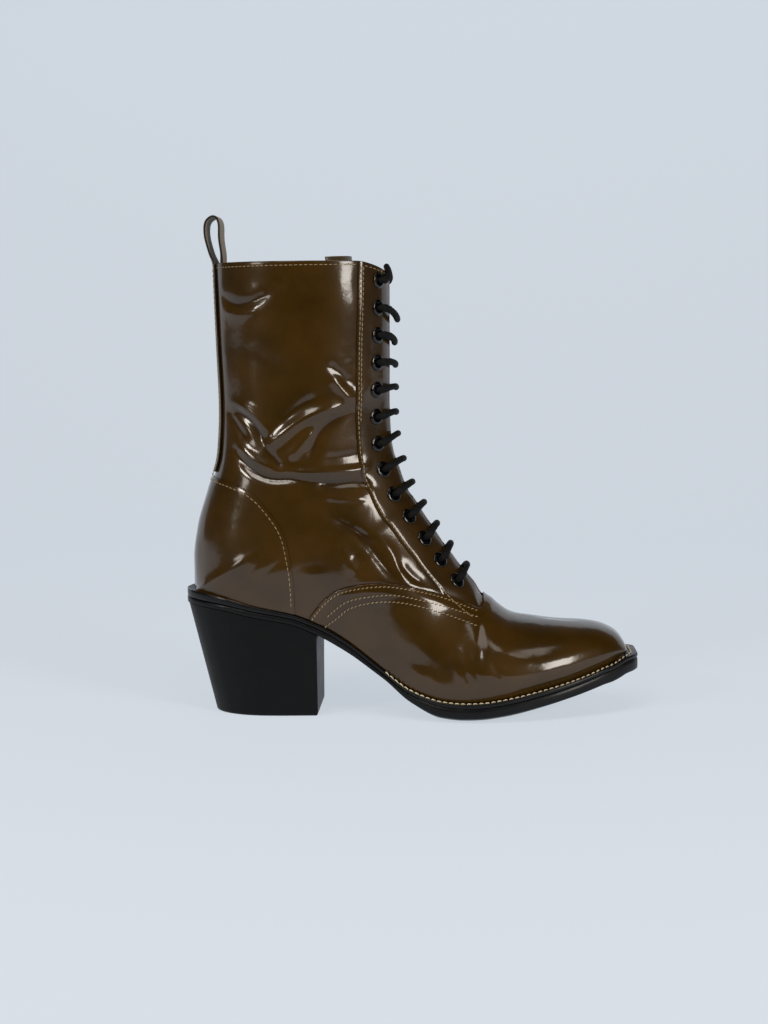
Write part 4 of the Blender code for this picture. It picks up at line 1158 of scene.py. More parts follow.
@dataclass
class Leather:
    """Lays leather on the last, with the creases in it."""

    last: Last
    creases: Creases

    def lay(self, rows: np.ndarray, signed: np.ndarray,
            offset: np.ndarray | float) -> tuple[np.ndarray, np.ndarray, np.ndarray]:
        """Points of a layer over the form.

        Args:
            rows: Rows before the collar's dip.
            signed: Signed shares.
            offset: Heights over the form, in metres.

        Returns:
            Points, outward normals, and crease heights in millimetres.
        """
        rows, signed = np.broadcast_arrays(np.asarray(rows, float), np.asarray(signed, float))
        rows = self.last.dip(rows, signed)
        base = self.last.place(rows, signed)
        normals = self.last.normal(rows, signed)
        lift = self.creases.lift(self.last, base, rows, signed)
        height = np.broadcast_to(np.asarray(offset, float), rows.shape) + lift
        return base + normals * height[..., None], normals, lift / MM

    def even_rows(self, first: float, final: float, step: float) -> np.ndarray:
        """Rows that lie at most a step apart, wherever on the girth.

        Args:
            first: First row.
            final: Last row.
            step: Largest spacing, in metres.

        Returns:
            The rows.
        """
        chosen = (self.last.rows >= first - 1e-6) & (self.last.rows <= final + 1e-6)
        rows = self.last.rows[chosen]
        gaps = np.max([np.linalg.norm(np.diff(self.last.points[side][chosen], axis=0), axis=2)
                       .max(axis=1) for side in Side], axis=0)
        run = np.concatenate([[0.0], np.cumsum(gaps)])
        return np.interp(np.linspace(0, run[-1], int(run[-1] / step) + 2), run, rows)

    def half(self, side: Side, rows: np.ndarray, rims: list, edge: list, count: int,
             base: float = 0.0, end: float | None = None,
             floor: float = -1.0) -> tuple[np.ndarray, np.ndarray]:
        """One side of a patch, from a line along the ridge to the back, feather or a line.

        Args:
            side: The side.
            rows: Rows of the patch, up to its upper edge.
            rims: Turned-over upper edge, as pairs of rise and height in millimetres.
            edge: Columns at the front edge, as pairs of distance and height in millimetres.
            count: Columns from there to its end.
            base: Height over the form, in metres.
            end: Distance of the end from the ridge, or None for all of the half girth.
            floor: Least height over the form, in metres.

        Returns:
            Values (position, crease, row, distance) and triangles.
        """
        all_rows = np.concatenate([rows, np.full(len(rims), rows[-1])])
        rise = np.concatenate([np.zeros(len(rows)), [r * MM for r, _ in rims]])
        turned = np.concatenate([np.zeros(len(rows)), [h * MM for _, h in rims]])
        length = self.last.length(all_rows, side)
        first = np.array([d * MM for d, _ in edge])
        start = first[-1]
        stop = length if end is None else np.full(len(all_rows), end)
        spread = np.linspace(0.0, 1.0, count + 1)[1:]
        distance = np.concatenate([
            np.broadcast_to(first, (len(all_rows), len(first))),
            start + (stop - start)[:, None] * spread], axis=1)
        heights = np.concatenate([[h * MM for _, h in edge], np.zeros(count)])
        offset = base + np.maximum(turned[:, None] + heights[None, :], floor)
        signed = side.value * np.minimum(distance / length[:, None], 1.0)
        grid_rows = np.broadcast_to(all_rows[:, None], distance.shape)
        points, _, fold = self.lay(grid_rows, signed, offset)
        points[..., 2] += rise[:, None]
        values = np.concatenate([
            points, fold[..., None], grid_rows[..., None], distance[..., None]], axis=2)
        faces = grid_faces(*distance.shape)
        if side is Side.LATERAL:
            faces = faces[:, ::-1]
        return values.reshape(-1, 6), faces


def joined(parts: list) -> tuple[np.ndarray, np.ndarray]:
    """One list of values and faces from several.

    Args:
        parts: Pairs of values and faces.

    Returns:
        Values and faces of all parts.
    """
    values = []
    faces = []
    total = 0
    for points, triangles in parts:
        values.append(points)
        faces.append(np.asarray(triangles) + total)
        total += len(points)
    return np.vstack(values), np.vstack(faces)


@dataclass
class Upper:
    """Quarters, vamp, counter, eyestays, lining, tongue and backstay of the boot."""

    leather: Leather
    wall: float = 0.00175
    gap: float = 0.0003
    overlay: float = 0.0008
    vamp_edge: list = field(default_factory=lambda: [
        (19, 22), (20.5, 42), (22.8, 54.4), (30.2, 64.6), (38.8, 71.4), (50, 74.5),
        (64.5, 75.6), (78, 73.5), (96, 68.4), (110, 62.4), (117.3, 59.4), (119, 66), (119, 84)])
    counter_edge: list = field(default_factory=lambda: [
        (-64, 135.5), (-36, 133.5), (-22, 130.4), (-7.8, 124.5), (3.4, 112.8), (10, 101.7),
        (12.9, 89.4), (14.6, 78.4), (15.1, 64), (15.1, 48)])
    eyelet_count: int = 13
    eyelet_hole: float = 0.0031
    grid: float = 0.0016
    weld: float = 0.00002
    tongue_half_mm: float = 31.5
    tongue_rise_mm: float = 3.6
    tongue_bend_mm: float = 42.0
    tongue_lean_mm: float = 15.0
    strap_half_mm: float = 9.5
    strap_lines: int = 15
    strap_points: int = 11
    loop_height_mm: float = 25.5
    loop_depth_mm: float = 6.5

    def __post_init__(self) -> None:
        """Draws the panel edges and finds the eyelets."""
        self.last = self.leather.last
        self.vamp_line = curve_through(self.vamp_edge, 0.6)
        self.counter_line = curve_through(self.counter_edge, 0.6)
        self.eyelets = {side: self.eyelet_places(side) for side in Side}

    def eyelet_places(self, side: Side) -> tuple[np.ndarray, np.ndarray, np.ndarray]:
        """Rows, points and normals of one side's eyelets, from the collar down.

        Args:
            side: The side.

        Returns:
            The rows, points and normals.
        """
        last = self.last
        rows = np.linspace(last.throat_end, last.collar_row, 300)
        signed = side.value * last.share(rows, last.eyelet_line, side)
        dipped = last.dip(rows, signed)
        points = last.place(dipped, signed)
        run = run_along(points)
        spots = np.linspace(run[-1] - 7.0 * MM, 18.0 * MM, self.eyelet_count)
        found = np.interp(spots, run, dipped)
        return found, *self.on_throat(side, found, last.eyelet_line)

    def on_throat(self, side: Side, rows: np.ndarray,
                  distance: np.ndarray | float) -> tuple[np.ndarray, np.ndarray]:
        """Points and normals of the form at a distance from the ridge, rows as they are."""
        signed = side.value * distance / self.last.length(rows, side)
        return self.last.place(rows, signed), self.last.normal(rows, signed)

    def shift(self, values: np.ndarray, height: np.ndarray) -> None:
        """Moves a patch's points out along the form's normals.

        Args:
            values: The patch's values, changed in place.
            height: How far each goes, in millimetres.
        """
        rows = values[:, 4]
        lateral = self.last.length(rows, Side.LATERAL)
        medial = self.last.length(rows, Side.MEDIAL)
        length = np.where(values[:, 1] < 0, lateral, medial)
        signed = np.where(values[:, 1] < 0, -1.0, 1.0) * np.minimum(values[:, 5] / length, 1.0)
        normals = self.last.normal(self.last.dip(rows, signed), signed)
        values[:, :3] += normals * (height * MM)[:, None]

    def vamp_field(self, values: np.ndarray) -> np.ndarray:
        """Millimetres inside the vamp's edge, in the side view."""
        closing = [(240, 84), (240, -30), (19, -30)]
        return signed_distance(values[:, [0, 2]] / MM, self.vamp_line, closing)

    def counter_field(self, values: np.ndarray) -> np.ndarray:
        """Millimetres inside the counter's edge, in the side view."""
        return signed_distance(values[:, [0, 2]] / MM, self.counter_line, [(-64, 48)])

    def hole_field(self, values: np.ndarray) -> np.ndarray:
        """Metres outside the nearest eyelet's hole.

        Args:
            values: A patch's values.

        Returns:
            The distances.
        """
        centres = np.vstack([self.eyelets[side][1] for side in Side])
        gaps = np.linalg.norm(values[:, None, :3] - centres[None], axis=2)
        return gaps.min(axis=1) - self.eyelet_hole

    def make_quarters(self, hide: bpy.types.Material) -> bpy.types.Object:
        """The shaft and quarters: one skin, turned over at the collar and the throat.

        Args:
            hide: The leather.

        Returns:
            The piece.
        """
        rows = self.leather.even_rows(9.2, 27.0, self.grid)
        rims = [(0.25, -0.05), (0.42, -0.4), (0.47, -0.85), (0.42, -1.3), (0.2, -1.7),
                (-1.5, -1.75), (-7.0, -1.75)]
        edge = [(12.5, -1.75), (7.4, -1.75), (7.05, -1.5), (6.9, -0.9), (7.0, -0.35),
                (7.3, -0.04), (8.0, 0.0)]
        parts = [self.leather.half(side, rows, rims, edge, 100, 0.0, None, -self.wall)
                 for side in Side]
        values, faces = joined(parts)
        inside = self.vamp_field(values)
        self.shift(values, -0.45 * rise_to(inside, -1.2, 0.6))
        values, faces = clip(values, faces, 4.5 - inside)
        values, faces = clip(values, faces, self.hole_field(values))
        quarters = add_piece("quarters", values[:, :3], faces, [hide], values[:, 3])
        add_modifier(quarters, "WELD", merge_threshold=self.weld)
        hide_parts("upper")
        return quarters

    def make_lining(self, hide: bpy.types.Material) -> bpy.types.Object:
        """The lining, seen through the collar.

        Args:
            hide: The leather.

        Returns:
            The piece.
        """
        rows = self.leather.even_rows(0.3, 27.0, 3.0 * MM)
        parts = []
        for side in Side:
            ahead = rows[rows <= 9.6]
            parts.append(self.leather.half(side, ahead, [], [(0.0, 0.0)], 40, -self.wall))
            behind = rows[rows >= 9.4]
            parts.append(self.leather.half(side, behind, [], [(7.6, 0.0)], 50, -self.wall))
        values, faces = joined(parts)
        values, faces = clip(values, faces[:, ::-1], self.hole_field(values))
        lining = add_piece("shaft_lining", values[:, :3], faces, [hide], values[:, 3])
        add_modifier(lining, "WELD", merge_threshold=self.weld)
        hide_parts("upper")
        return lining

    def make_vamp(self, hide: bpy.types.Material) -> bpy.types.Object:
        """The vamp: over the quarters, its edge raised on them, the ball lightly creased.

        Args:
            hide: The leather.

        Returns:
            The piece.
        """
        rows = self.leather.even_rows(0.0, 17.0, 1.35 * MM)
        parts = [self.leather.half(side, rows, [], [(0.0, 0.0)], 84) for side in Side]
        values, faces = joined(parts)
        inside = self.vamp_field(values)
        ridge = np.exp(-((inside - 4.6) / 2.2) ** 2)
        raised = 0.75 * (1 - rise_to(inside, 2.0, 16.0)) + 0.35 * ridge
        self.shift(values, raised)
        values, faces = clip(values, faces, inside)
        vamp = add_piece("vamp", values[:, :3], faces, [hide], values[:, 3])
        add_modifier(vamp, "WELD", merge_threshold=self.weld)
        add_modifier(vamp, "SOLIDIFY", thickness=0.9 * MM, offset=-1.0)
        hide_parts("upper")
        return vamp

    def make_counter(self, hide: bpy.types.Material) -> bpy.types.Object:
        """Heel counter laid over the quarters.

        Args:
            hide: The leather.

        Returns:
            The piece.
        """
        rows = self.leather.even_rows(12.0, 26.0, 1.1 * MM)
        parts = [self.leather.half(side, rows, [], [(31.5, 0.0)], 105,
                                   self.gap + self.overlay) for side in Side]
        values, faces = joined(parts)
        inside = self.counter_field(values)
        self.shift(values, -0.45 * (1 - rise_to(inside, 0.0, 1.8)))
        values, faces = clip(values, faces, inside)
        counter = add_piece("heel_counter", values[:, :3], faces, [hide], values[:, 3])
        add_modifier(counter, "WELD", merge_threshold=self.weld)
        add_modifier(counter, "SOLIDIFY", thickness=1.0 * MM, offset=-1.0)
        soften(counter, 0.3)
        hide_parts("counter")
        return counter

    def make_facing(self, side: Side, hide: bpy.types.Material) -> bpy.types.Object:
        """Eyestay with rounded edges, its eyelet holes cut through.

        Args:
            side: The side.
            hide: The leather.

        Returns:
            The piece.
        """
        rows = self.leather.even_rows(9.75, 27.0, 1.3 * MM)
        rims = [(0.2, -0.06), (0.36, -0.3), (0.4, -0.6), (0.4, -0.9)]
        edge = [(6.95, -0.85), (6.85, -0.45), (6.95, -0.15), (7.3, 0.0), (7.8, 0.0)]
        base = self.gap + self.overlay
        end = self.last.seam_distance + 0.7 * MM
        values, faces = self.leather.half(side, rows, rims, edge, 26, base, end, -0.95 * MM)
        under_vamp = rise_to(self.vamp_field(values), -5.0, -0.4)
        skived = rise_to(values[:, 5], end - 2.2 * MM, end)
        self.shift(values, -0.95 * under_vamp - 0.55 * skived * (1 - under_vamp))
        values, faces = clip(values, faces, self.hole_field(values))
        name = "eyestay_" + side.name.lower()
        facing = add_piece(name, values[:, :3], faces, [hide], values[:, 3])
        add_modifier(facing, "SOLIDIFY", thickness=0.75 * MM, offset=-1.0)
        soften(facing, 0.22)
        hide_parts("facing_" + side.name.lower())
        return facing

    def make_tongue(self, hide: bpy.types.Material) -> bpy.types.Object:
        """Tongue under the lacing, with a thin rounded top edge over the collar.

        Args:
            hide: The leather.

        Returns:
            The piece.
        """
        rows = self.leather.even_rows(9.0, 27.0, 2.4 * MM)
        across = np.linspace(-1.0, 1.0, 33)
        length = np.minimum(self.last.length(rows, Side.LATERAL),
                            self.last.length(rows, Side.MEDIAL))
        signed = across[None, :] * (self.tongue_half_mm * MM / length)[:, None]
        sink = np.clip((rows - 9.0) / 3.4, 0.0, 1.0)
        depth = (1.8 + 0.3 + 3.4 * sink) * MM
        grid = np.broadcast_to(rows[:, None], signed.shape)
        dipped = self.last.dip(grid, signed)
        normals = self.last.normal(dipped, signed)
        points = self.last.place(dipped, signed) - normals * depth[:, None, None]
        top = points[-1]
        level = top[:, 2].max() + self.tongue_rise_mm * MM - 0.8 * MM * across ** 2
        extra = []
        for share in (0.2, 0.4, 0.6, 0.8, 0.93, 1.0):
            raised = top.copy()
            raised[:, 2] += (level - top[:, 2]) * share
            extra.append(raised)
        points = np.concatenate([points, np.array(extra)])
        bend = rise_to(points[..., 2], level.max() - self.tongue_bend_mm * MM, level.max()) ** 1.4
        points[..., 0] -= self.tongue_lean_mm * MM * bend
        faces = grid_faces(points.shape[0], points.shape[1])
        tongue = add_piece("tongue_leather", points.reshape(-1, 3), faces, [hide],
                           np.zeros(points.shape[0] * points.shape[1]))
        add_modifier(tongue, "SOLIDIFY", thickness=1.4 * MM, offset=-1.0)
        soften(tongue, 0.4)
        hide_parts("tongue")
        return tongue

    def strap_row(self, row: float, offset: float) -> np.ndarray:
        """One row across the backstay strip, lateral to medial.

        Args:
            row: The row.
            offset: Height over the form, in metres.

        Returns:
            The points.
        """
        line = []
        for u in np.linspace(-1.0, 1.0, self.strap_points):
            side = Side.LATERAL if u < 0 else Side.MEDIAL
            length = self.last.length(np.array([row]), side)[0]
            signed = np.array([side.value * (1.0 - abs(u) * self.strap_half_mm * MM / length)])
            rows = np.array([row])
            line.append((self.last.place(rows, signed)
                         + self.last.normal(rows, signed) * offset)[0])
        return np.array(line)

    def make_pull_strap(self, finishes: list) -> bpy.types.Object:
        """Backstay strip that folds over at the collar into the pull loop.

        Args:
            finishes: Materials of its inner face, its outer face and its edges, for the
                loop and again for the strip on the shaft.

        Returns:
            The piece.
        """
        turns = [(0.25, -0.28), (0.60, -0.52), (0.85, -0.52), (0.96, -0.26), (1.00, 0.10),
                 (0.95, 0.36), (0.82, 0.48), (0.55, 0.48), (0.22, 0.52)]
        lines = [self.strap_row(row, self.gap) for row in np.linspace(23.5, 27.0, self.strap_lines)]
        outer = lines[-1]
        middle = outer[self.strap_points // 2]
        half = self.strap_half_mm * MM
        across = np.linspace(-half, half, self.strap_points)
        for rise, back in turns:
            flat = min(rise / 0.5, 1.0)
            x = middle[0] + back * self.loop_depth_mm * MM + (outer[:, 0] - middle[0]) * (1 - flat)
            y = outer[:, 1] + (across - outer[:, 1]) * flat
            z = np.full(self.strap_points, middle[2] + rise * self.loop_height_mm * MM)
            lines.append(np.stack([x, y, z], axis=1))
        for part in (0.0, 0.25, 0.5):
            lines.append(self.strap_row(27.0 - part, -2.7 * MM))
        finer = 4
        grid = smooth_lines(np.array(lines), finer)
        faces = grid_faces(grid.shape[0], grid.shape[1])[:, ::-1]
        strap = add_piece("pull_strap", grid.reshape(-1, 3), faces, finishes, sharp_degrees=50.0)
        # The three finishes come twice: for the loop, then for the strip down the back
        on_shaft = faces.max(axis=1) < (self.strap_lines - 1) * finer * self.strap_points
        strap.data.polygons.foreach_set("material_index", np.where(on_shaft, 3, 0))
        add_modifier(strap, "SOLIDIFY", thickness=1.3 * MM, offset=1.0,
                     material_offset=1, material_offset_rim=2)
        soften(strap, 0.3, 50.0)
        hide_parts("backstay_loop")
        return strap


@dataclass
class Sole:
    """Welt, outsole, heel block and insole, drawn round the feather line."""

    last: Last
    welt_thickness: float = 0.0022
    outsole_thickness: float = 0.0078
    camber: float = 0.0022
    bevel: float = 0.0008
    gap: float = 0.0003
    sole_gap: float = 0.0004
    breast_x: float = 0.027
    foot_length: float = 0.060
    foot_width: float = 0.051
    foot_round: float = 0.0018
    stations: int = 190
    toe_points: int = 13

    def room(self, along: np.ndarray) -> np.ndarray:
        """How much lower the welt lies under the counter and the toe tip.

        Args:
            along: Shares of the length.

        Returns:
            Depths in metres.
        """
        heel = np.clip((0.32 - along) / 0.05, 0.0, 1.0)
        toe = np.clip((along - 0.94) / 0.04, 0.0, 1.0)
        return 0.0004 * heel + 0.0014 * toe

    def welt_top(self, along: np.ndarray) -> np.ndarray:
        """Height of the welt's upper face."""
        return self.last.feather(along) - self.gap - self.room(along)

    def outsole_top(self, along: np.ndarray) -> np.ndarray:
        """Height of the outsole's upper face."""
        return self.welt_top(along) - self.welt_thickness - self.sole_gap

    def outsole_bottom(self, along: np.ndarray) -> np.ndarray:
        """Height of the outsole's lower face at its middle."""
        thick = self.last.edge(along)[:, 1] * self.outsole_thickness
        return np.maximum(self.outsole_top(along) - thick, 0.0)

    def side_points(self, along: np.ndarray, reach: np.ndarray, side: Side) -> np.ndarray:
        """Outline points (x, y) of one side, moved out by reach.

        Args:
            along: Shares of the length.
            reach: How far out, in metres.
            side: The side.

        Returns:
            The points.
        """
        step = 0.002
        index = side.column
        here = self.last.outline(along)
        ahead = np.minimum(along + step, 1.0)
        behind = np.maximum(along - step, 0.0)
        rise = self.last.outline(ahead)[:, index] - self.last.outline(behind)[:, index]
        run = np.stack([(ahead - behind) * self.last.upper_length, side.value * rise], axis=1)
        normal = unit(np.stack([run[:, 1], -run[:, 0]], axis=1))
        normal = normal * np.sign(normal[:, 1:2] * side.value)
        start = np.stack([self.last.x_of(along), here[:, 2] + side.value * here[:, index]], axis=1)
        return start + normal * reach[:, None]

    def along_stations(self, end: float = 1.0) -> np.ndarray:
        """Stations from the heel to an end, closer at both ends."""
        t = np.linspace(0.0, 1.0, self.stations)
        return end * (1 - np.cos(np.pi * t)) / 2

    def loop(self, inset: np.ndarray | float, absolute: bool = False) -> np.ndarray:
        """Closed outline: lateral side heel to toe, then medial side toe to heel.

        Args:
            inset: Distance inside the sole's edge, or outside the feather line.
            absolute: True where the distance is from the feather line.

        Returns:
            Points (x, y) of the ring.
        """
        along = self.along_stations()
        reach = self.last.edge(along)[:, 0]
        out = np.broadcast_to(inset, reach.shape) if absolute else reach - inset
        lateral = self.side_points(along, out, Side.LATERAL)
        medial = self.side_points(along, out, Side.MEDIAL)
        t = np.linspace(0.0, 1.0, self.toe_points + 2)[1:-1, None]
        toe = lateral[-1] * (1 - t) + medial[-1] * t
        ring = np.vstack([lateral, toe, medial[::-1]])
        ends = np.zeros(len(ring))
        ends[self.stations - 14:self.stations + self.toe_points + 14] = 1.0
        for _ in range(6):
            smoothed = (np.roll(ring, 1, axis=0) + 2 * ring + np.roll(ring, -1, axis=0)) / 4
            ring = ring + (smoothed - ring) * ends[:, None]
        return ring

    def rings_to_faces(self, count: int, size: int, caps: tuple[bool, bool]) -> list:
        """Faces between rings, and strips over the first and last.

        Args:
            count: How many rings.
            size: Points in a ring.
            caps: Whether the first and the last ring are closed.

        Returns:
            The faces, outward where the rings run down.
        """
        faces = tube_faces(count, size)[:, ::-1].tolist()
        for wanted, base, flip in ((caps[0], 0, True), (caps[1], (count - 1) * size, False)):
            if wanted:
                for i in range(size // 2 - 1):
                    quad = (base + i, base + i + 1, base + size - 2 - i, base + size - 1 - i)
                    faces.append(quad if flip else quad[::-1])
        return faces

    def make_welt(self, ink: bpy.types.Material) -> bpy.types.Object:
        """Welt with a rounded edge, and a lip that rises round the heel.

        Args:
            ink: The edge's finish.

        Returns:
            The piece.
        """
        rings = []
        section = [(None, 0.0), (0.9, 0.0), (0.35, 0.1), (0.08, 0.35), (0.0, 0.8), (0.0, 1.6),
                   (0.1, 2.0), (0.4, 2.2)]
        for inset, drop in section:
            ring = self.loop(0.6 * MM, True) if inset is None else self.loop(inset * MM)
            along = self.last.along_of(ring[:, 0])
            z = self.welt_top(along) - drop * MM
            if inset is not None:
                lip = 2.2 * MM * np.clip((0.20 - along) / 0.16, 0.0, 1.0)
                z = z + lip * (1 - drop / 2.2) * (1.0 if inset < 0.5 else 0.75)
            rings.append(np.column_stack([ring, z]))
        inner = self.loop(-8.0 * MM, True)
        inner_z = self.welt_top(self.last.along_of(inner[:, 0]))
        rings.insert(0, np.column_stack([inner, inner_z]))
        faces = self.rings_to_faces(len(rings), len(rings[0]), (False, False))
        welt = add_piece("welt_strip", np.vstack(rings), faces, [ink], sharp_degrees=60.0)
        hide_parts("welt")
        return welt

    def make_outsole(self, ink: bpy.types.Material) -> bpy.types.Object:
        """Outsole with a cambered, bevelled edge and a level tread under the ball.

        Args:
            ink: The edge's finish.

        Returns:
            The piece.
        """
        rings = []
        for inset, level in ((None, 0.0), (0.5, 0.0), (0.1, 0.12), (0.0, 0.35), (0.0, 0.7),
                             (0.12, 0.92), (0.8, 1.0), (3.5, 1.35), (6.5, 1.8), (11.5, 2.0)):
            along = self.along_stations()
            if level > 1.0:
                narrow = self.last.outline(along)[:, :2].min(axis=1)
                cap = np.minimum(12.0 * MM, np.maximum(0.45 * narrow, 1.6 * MM)) / (12.0 * MM)
                ring = self.loop(inset * MM * cap)
            elif inset is None:
                ring = self.loop(-8.0 * MM, True)
            else:
                ring = self.loop(inset * MM)
            there = self.last.along_of(ring[:, 0])
            top = self.outsole_top(there)
            bottom = self.outsole_bottom(there)
            edge = bottom + self.last.edge(there)[:, 2] * self.camber
            if level <= 1.0:
                z = top + (edge - top) * level
            else:
                z = edge + (bottom - edge) * min(level - 1.0, 1.0)
            rings.append(np.column_stack([ring, z]))
        faces = self.rings_to_faces(len(rings), len(rings[0]), (False, True))
        outsole = add_piece("outsole_edge", np.vstack(rings), faces, [ink], sharp_degrees=55.0)
        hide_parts("outsole")
        return outsole

    def make_heel(self, lacquer: bpy.types.Material) -> bpy.types.Object:
        """Heel block: round behind, straight at the breast, narrowing to a softened foot.

        Args:
            lacquer: The heel's finish.

        Returns:
            The piece.
        """
        end = float(self.last.along_of(self.breast_x))
        along = self.along_stations(end)
        reach = self.last.edge(along)[:, 0] - self.bevel
        lateral = self.side_points(along, reach, Side.LATERAL)
        medial = self.side_points(along, reach, Side.MEDIAL)
        lateral[:, 0] = np.minimum(lateral[:, 0], self.breast_x)
        medial[:, 0] = np.minimum(medial[:, 0], self.breast_x)
        t = np.linspace(0.0, 1.0, 11)[1:-1, None]
        ring = np.vstack([lateral, lateral[-1] * (1 - t) + medial[-1] * t, medial[::-1]])
        top_z = self.outsole_bottom(self.last.along_of(ring[:, 0])) - self.gap
        back_x = ring[:, 0].min()
        widest = ring[:, 1].max() - ring[:, 1].min()
        shrink_x = self.foot_length / (self.breast_x - back_x)
        shrink_y = self.foot_width / widest
        rings = []
        for share in np.linspace(0.0, 1.0, 16):
            sx = 1 + (shrink_x - 1) * share
            sy = 1 + (shrink_y - 1) * share
            z = top_z + (self.foot_round - top_z) * share
            x = self.breast_x + (ring[:, 0] - self.breast_x) * sx
            rings.append(np.column_stack([x, ring[:, 1] * sy, z]))
        foot = rings[-1]
        centre = np.array([self.breast_x - self.foot_length / 2, 0.0])
        for angle in np.linspace(0.0, math.pi / 2, 6)[1:]:
            inset = self.foot_round * (1 - math.cos(angle))
            sx = 1 - 2 * inset / self.foot_length
            sy = 1 - 2 * inset / self.foot_width
            flat = centre + (foot[:, :2] - centre) * np.array([sx, sy])
            z = np.full(len(foot), self.foot_round * (1 - math.sin(angle)))
            rings.append(np.column_stack([flat, z]))
        faces = self.rings_to_faces(len(rings), len(ring), (True, True))
        heel = add_piece("heel_block", np.vstack(rings), faces, [lacquer], sharp_degrees=35.0)
        soften(heel, 0.9, 50.0, 3)
        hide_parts("heel")
        return heel

    def make_insole(self, hide: bpy.types.Material) -> bpy.types.Object:
        """Sock lining over the insole, its edge turned down.

        Args:
            hide: The leather.

        Returns:
            The piece.
        """
        rings = []
        for inset, lift in ((3.0, 0.05), (2.75, 1.6), (3.1, 2.2), (4.0, 2.5), (9.0, 2.3)):
            ring = self.loop(-inset * MM, True)
            z = self.last.feather(self.last.along_of(ring[:, 0])) + lift * MM
            rings.append(np.column_stack([ring, z]))
        faces = self.rings_to_faces(len(rings), len(rings[0]), (True, True))
        faces = [face[::-1] for face in faces]  # These rings run upward
        insole = add_piece("sock_lining", np.vstack(rings), faces, [hide], sharp_degrees=60.0)
        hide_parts("insole")
        return insole


